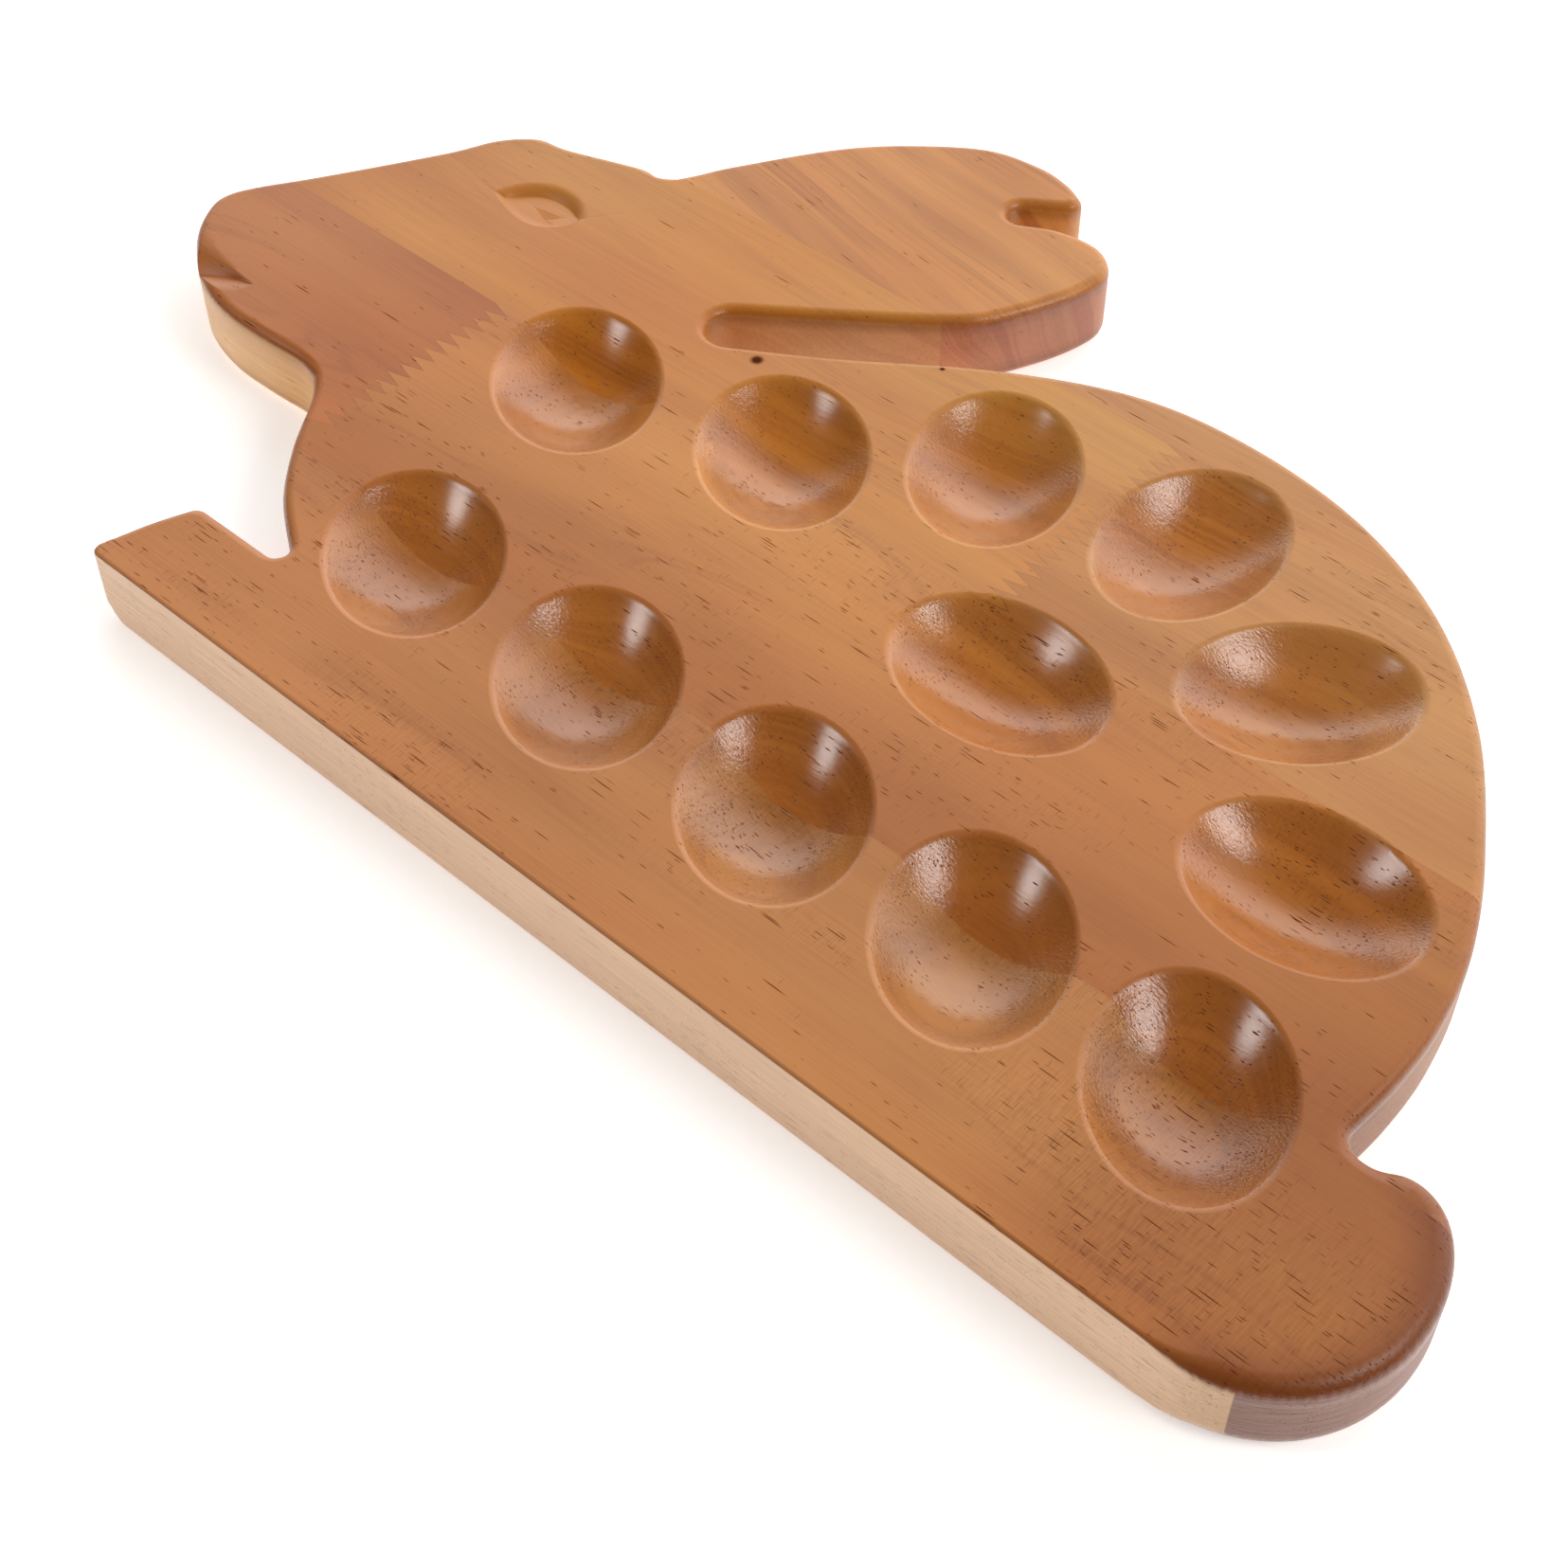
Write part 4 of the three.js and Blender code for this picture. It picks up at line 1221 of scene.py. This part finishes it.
class WoodFinish(bpy.types.PropertyGroup):
    base_tone: tone_property("Base Tone", "Colour of the base stave", "c57d43")
    muzzle_tone: tone_property("Muzzle Tone", "Colour of the muzzle block", "bf7237")
    body_tone: tone_property("Body Tone", "Colour of the body block", "ca7f38")
    head_tone: tone_property("Head Tone", "Colour of the head block", "cd8134")
    rump_tone: tone_property("Rump Tone", "Colour of the rump block", "ca8644")
    ear_tone: tone_property("Ear Tone", "Colour of the ear block", "cd8136")
    back_tone: tone_property("Back Tone", "Colour of the back block", "ca8747")
    pore_tone: tone_property("Pore Tone", "Colour of the stain in the pores", "54220e")
    # This tone darkens the tail by stain, the wells and the arrises partly by stain and partly by painted
    # shade, and the eye and the mouth by painted shade
    stain_and_shade_tone: tone_property("Stain and Shade Tone", "How the stain darkens wells and edges", "ba9a62")
    pale_tone: tone_property("Pale Tone", "Colour of the barely stained base face", "f4c9a4")
    end_tone: tone_property("End Tone", "Colour of end grain on the sawn walls", "997062")
    # The wells darken partly by stain and partly by painted shade
    bowl_stain_and_shade: share_property("Bowl Stain and Shade", "How much darker the wells are", 0.2)
    # The arrises darken partly by stain and partly by painted shade, and the eye and the mouth by painted
    # shade alone
    edge_stain_and_shade: share_property("Edge Stain and Shade", "How much darker the arrises are", 0.5)
    seam_stain: share_property("Seam Stain", "How dark the lines along the finger joints are", 0.3)
    ring_stain: share_property("Ring Stain", "How dark the lines of late wood are", 0.3)
    pore_share: share_property("Pore Share", "Share of the cells of the grain that hold an open pore", 0.5)
    face_roughness: share_property("Face Roughness", "Roughness of the lacquer on the sanded face", 0.42)
    well_roughness: share_property("Well Roughness", "Roughness in the wells and along the arrises", 0.24)
    coat: share_property("Coat", "Weight of the glossy coat in the wells and along the arrises", 0.4)
    coat_roughness: share_property("Coat Roughness", "Roughness of that coat", 0.12)
    grain_relief: length_property("Grain Relief", "Height of the fibres under the lacquer", 0.00003)


class StageLook(bpy.types.PropertyGroup):
    floor_tone: tone_property("Floor Tone", "Colour of the floor", "f4f3f1")
    floor_glow: strength_property("Floor Glow", "Light that shines up through the floor", 0.55)
    softbox_power: strength_property(
        "Softbox Power", "Power of the softboxes for each square metre", 31.0, "POWER"
    )
    backdrop: strength_property("Backdrop", "Brightness of the white backdrop behind the board", 2.35)
    surround: strength_property("Surround", "Brightness of the dim room in front and above", 0.04)


class EGGTRAY_OT_base_stave(bpy.types.Operator):
    """Make the full-length stave along the base edge"""
    bl_idname = "eggtray.base_stave"
    bl_label = "Base Stave"
    bl_options = {"REGISTER", "UNDO"}

    def execute(self, context):
        return make_blocks(context, "base_stave")


class EGGTRAY_OT_second_row(bpy.types.Operator):
    """Make the muzzle and body blocks, finger-jointed end to end"""
    bl_idname = "eggtray.second_row"
    bl_label = "Muzzle and Body"
    bl_options = {"REGISTER", "UNDO"}

    def execute(self, context):
        return make_blocks(context, "muzzle_block", "body_block")


class EGGTRAY_OT_third_row(bpy.types.Operator):
    """Make the head and rump blocks, finger-jointed end to end"""
    bl_idname = "eggtray.third_row"
    bl_label = "Head and Rump"
    bl_options = {"REGISTER", "UNDO"}

    def execute(self, context):
        return make_blocks(context, "head_block", "rump_block")


class EGGTRAY_OT_top_row(bpy.types.Operator):
    """Make the ear and the crest of the back, sawn from the top stave"""
    bl_idname = "eggtray.top_row"
    bl_label = "Ear and Back"
    bl_options = {"REGISTER", "UNDO"}

    def execute(self, context):
        return make_blocks(context, "ear_block", "back_block")


class EGGTRAY_OT_stage(bpy.types.Operator):
    """Set up the floor, the light and the camera"""
    bl_idname = "eggtray.stage"
    bl_label = "Stage"
    bl_options = {"REGISTER", "UNDO"}

    def execute(self, context):
        look = context.scene.egg_tray_stage
        make_floor(context, look)
        make_light(context, look)
        make_camera(context)
        return {"FINISHED"}


def make_floor(context, look):
    """A flat floor: a grid of places on a square, at the height of the board's underside."""
    side = np.linspace(-FLOOR_REACH, FLOOR_REACH, FLOOR_PLACES)
    x, y = np.meshgrid(side, side)
    places = np.column_stack([x.ravel(), y.ravel(), np.full(x.size, FLOOR_DROP)])
    index = np.arange(x.size).reshape(x.shape)
    quads = np.stack([index[:-1, :-1], index[:-1, 1:], index[1:, 1:], index[1:, :-1]], -1).reshape(-1, 4)
    mesh = bpy.data.meshes.new("floor")
    mesh.from_pydata(places.tolist(), [], quads.tolist())
    material = bpy.data.materials.new("floor_paint")
    material.use_nodes = True
    shader = material.node_tree.nodes["Principled BSDF"]
    for key, value in (
        ("Base Color", look.floor_tone), ("Roughness", FLOOR_ROUGHNESS), ("Emission Color", look.floor_tone),
        ("Emission Strength", look.floor_glow),
    ):
        shader.inputs[key].default_value = value
    mesh.materials.append(material)
    floor = bpy.data.objects.new("floor", mesh)
    context.scene.collection.objects.link(floor)


def facing(place, target):
    """A matrix at a place whose back axis points away from the target, level with the floor."""
    back = np.array(place) - np.array(target)
    back /= np.linalg.norm(back)
    right = np.cross((0, 0, 1), back)
    right /= np.linalg.norm(right)
    return Matrix(np.block([
        [np.column_stack([right, np.cross(back, right), back]), np.array(place)[:, None]],
        [np.zeros((1, 3)), np.ones((1, 1))],
    ]).tolist())


def make_light(context, look):
    """Two round softboxes in front, to the left and right of the camera, brightest in their middle, and a
    white backdrop low behind the board that fades into a dim room overhead and in front. Seen directly, the
    room is white."""
    scene = context.scene
    for title, azimuth, elevation, width in SOFTBOXES:
        turn, rise = np.radians((azimuth, elevation))
        level = np.cos(rise)
        place = SOFTBOX_REACH * np.array([np.cos(turn) * level, np.sin(turn) * level, np.sin(rise)])
        light = bpy.data.lights.new(title, "AREA")
        light.shape = "DISK"
        light.size = width
        light.energy = look.softbox_power * np.pi * width ** 2 / 4
        light.use_nodes = True
        wire = Wiring(light.node_tree)
        sockets = {0: wire.add("NewGeometry")["Parametric"], 1: (0.5, 0.5, 0.0)}
        away = wire.add("VectorMath", sockets, operation="DISTANCE")["Value"]
        glow = wire.add("Emission", {"Strength": wire.step(away, *SOFTBOX_FADE)})
        wire.add("OutputLight", {"Surface": glow["Emission"]})
        lamp = bpy.data.objects.new(title, light)
        lamp.matrix_world = facing(place, (0, 0, 0))
        scene.collection.objects.link(lamp)
    world = bpy.data.worlds.new("studio")
    world.use_nodes = True
    wire = Wiring(world.node_tree)
    turn = np.radians(BACKDROP_AZIMUTH)
    sockets = {0: wire.add("TexCoord")["Generated"], 1: (np.cos(turn), np.sin(turn), 0)}
    behind = wire.add("VectorMath", sockets, operation="DOT_PRODUCT")["Value"]
    strength = wire.step(behind, *BACKDROP_EDGE, look.surround, look.backdrop)
    strength = wire.larger(strength, wire.add("LightPath")["Is Camera Ray"])
    shine = wire.add("Background", {"Color": (1, 1, 1, 1), "Strength": strength})
    wire.add("OutputWorld", {"Surface": shine["Background"]})
    scene.world = world
    scene.view_settings.view_transform = "Standard"


def make_camera(context):
    """The camera where the photograph was taken from."""
    camera = bpy.data.cameras.new("photo_camera")
    camera.sensor_width = 36.0
    camera.lens = CAMERA_LENS
    camera.clip_start = 0.01
    eye = bpy.data.objects.new("photo_camera", camera)
    eye.matrix_world = Matrix.LocRotScale(CAMERA_PLACE, Euler(np.radians(CAMERA_TURN)), None)
    context.scene.collection.objects.link(eye)
    context.scene.camera = eye


class EGGTRAY_PT_panel(bpy.types.Panel):
    """Sidebar panel with the steps and the sizes, tones and light they use"""
    bl_idname = "EGGTRAY_PT_panel"
    bl_label = "Egg Tray"
    bl_space_type = "VIEW_3D"
    bl_region_type = "UI"
    bl_category = "Egg Tray"

    def draw(self, context):
        for step in STEPS:
            self.layout.operator(step.bl_idname)
        scene = context.scene
        for group in (scene.egg_tray_sizes, scene.egg_tray_finish, scene.egg_tray_stage):
            box = self.layout.box()
            for key in group.bl_rna.properties.keys():
                if key not in ("rna_type", "name"):
                    box.prop(group, key)


SIZE_KEYS = tuple(BoardSizes.__annotations__)
STEPS = (
    EGGTRAY_OT_base_stave, EGGTRAY_OT_second_row, EGGTRAY_OT_third_row, EGGTRAY_OT_top_row, EGGTRAY_OT_stage,
)
CLASSES = (BoardSizes, WoodFinish, StageLook, *STEPS, EGGTRAY_PT_panel)


def register():
    """Register the classes and hang their settings on the scene."""
    for item in CLASSES:
        bpy.utils.register_class(item)
    bpy.types.Scene.egg_tray_sizes = PointerProperty(type=BoardSizes)
    bpy.types.Scene.egg_tray_finish = PointerProperty(type=WoodFinish)
    bpy.types.Scene.egg_tray_stage = PointerProperty(type=StageLook)


def unregister():
    """Take the settings off the scene and unregister the classes."""
    del bpy.types.Scene.egg_tray_sizes
    del bpy.types.Scene.egg_tray_finish
    del bpy.types.Scene.egg_tray_stage
    for item in reversed(CLASSES):
        bpy.utils.unregister_class(item)


def main():
    """Register and run every step in order."""
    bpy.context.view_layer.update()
    register()
    bpy.ops.eggtray.base_stave()
    bpy.ops.eggtray.second_row()
    bpy.ops.eggtray.third_row()
    bpy.ops.eggtray.top_row()
    bpy.ops.eggtray.stage()


if __name__ == "__main__":
    main()
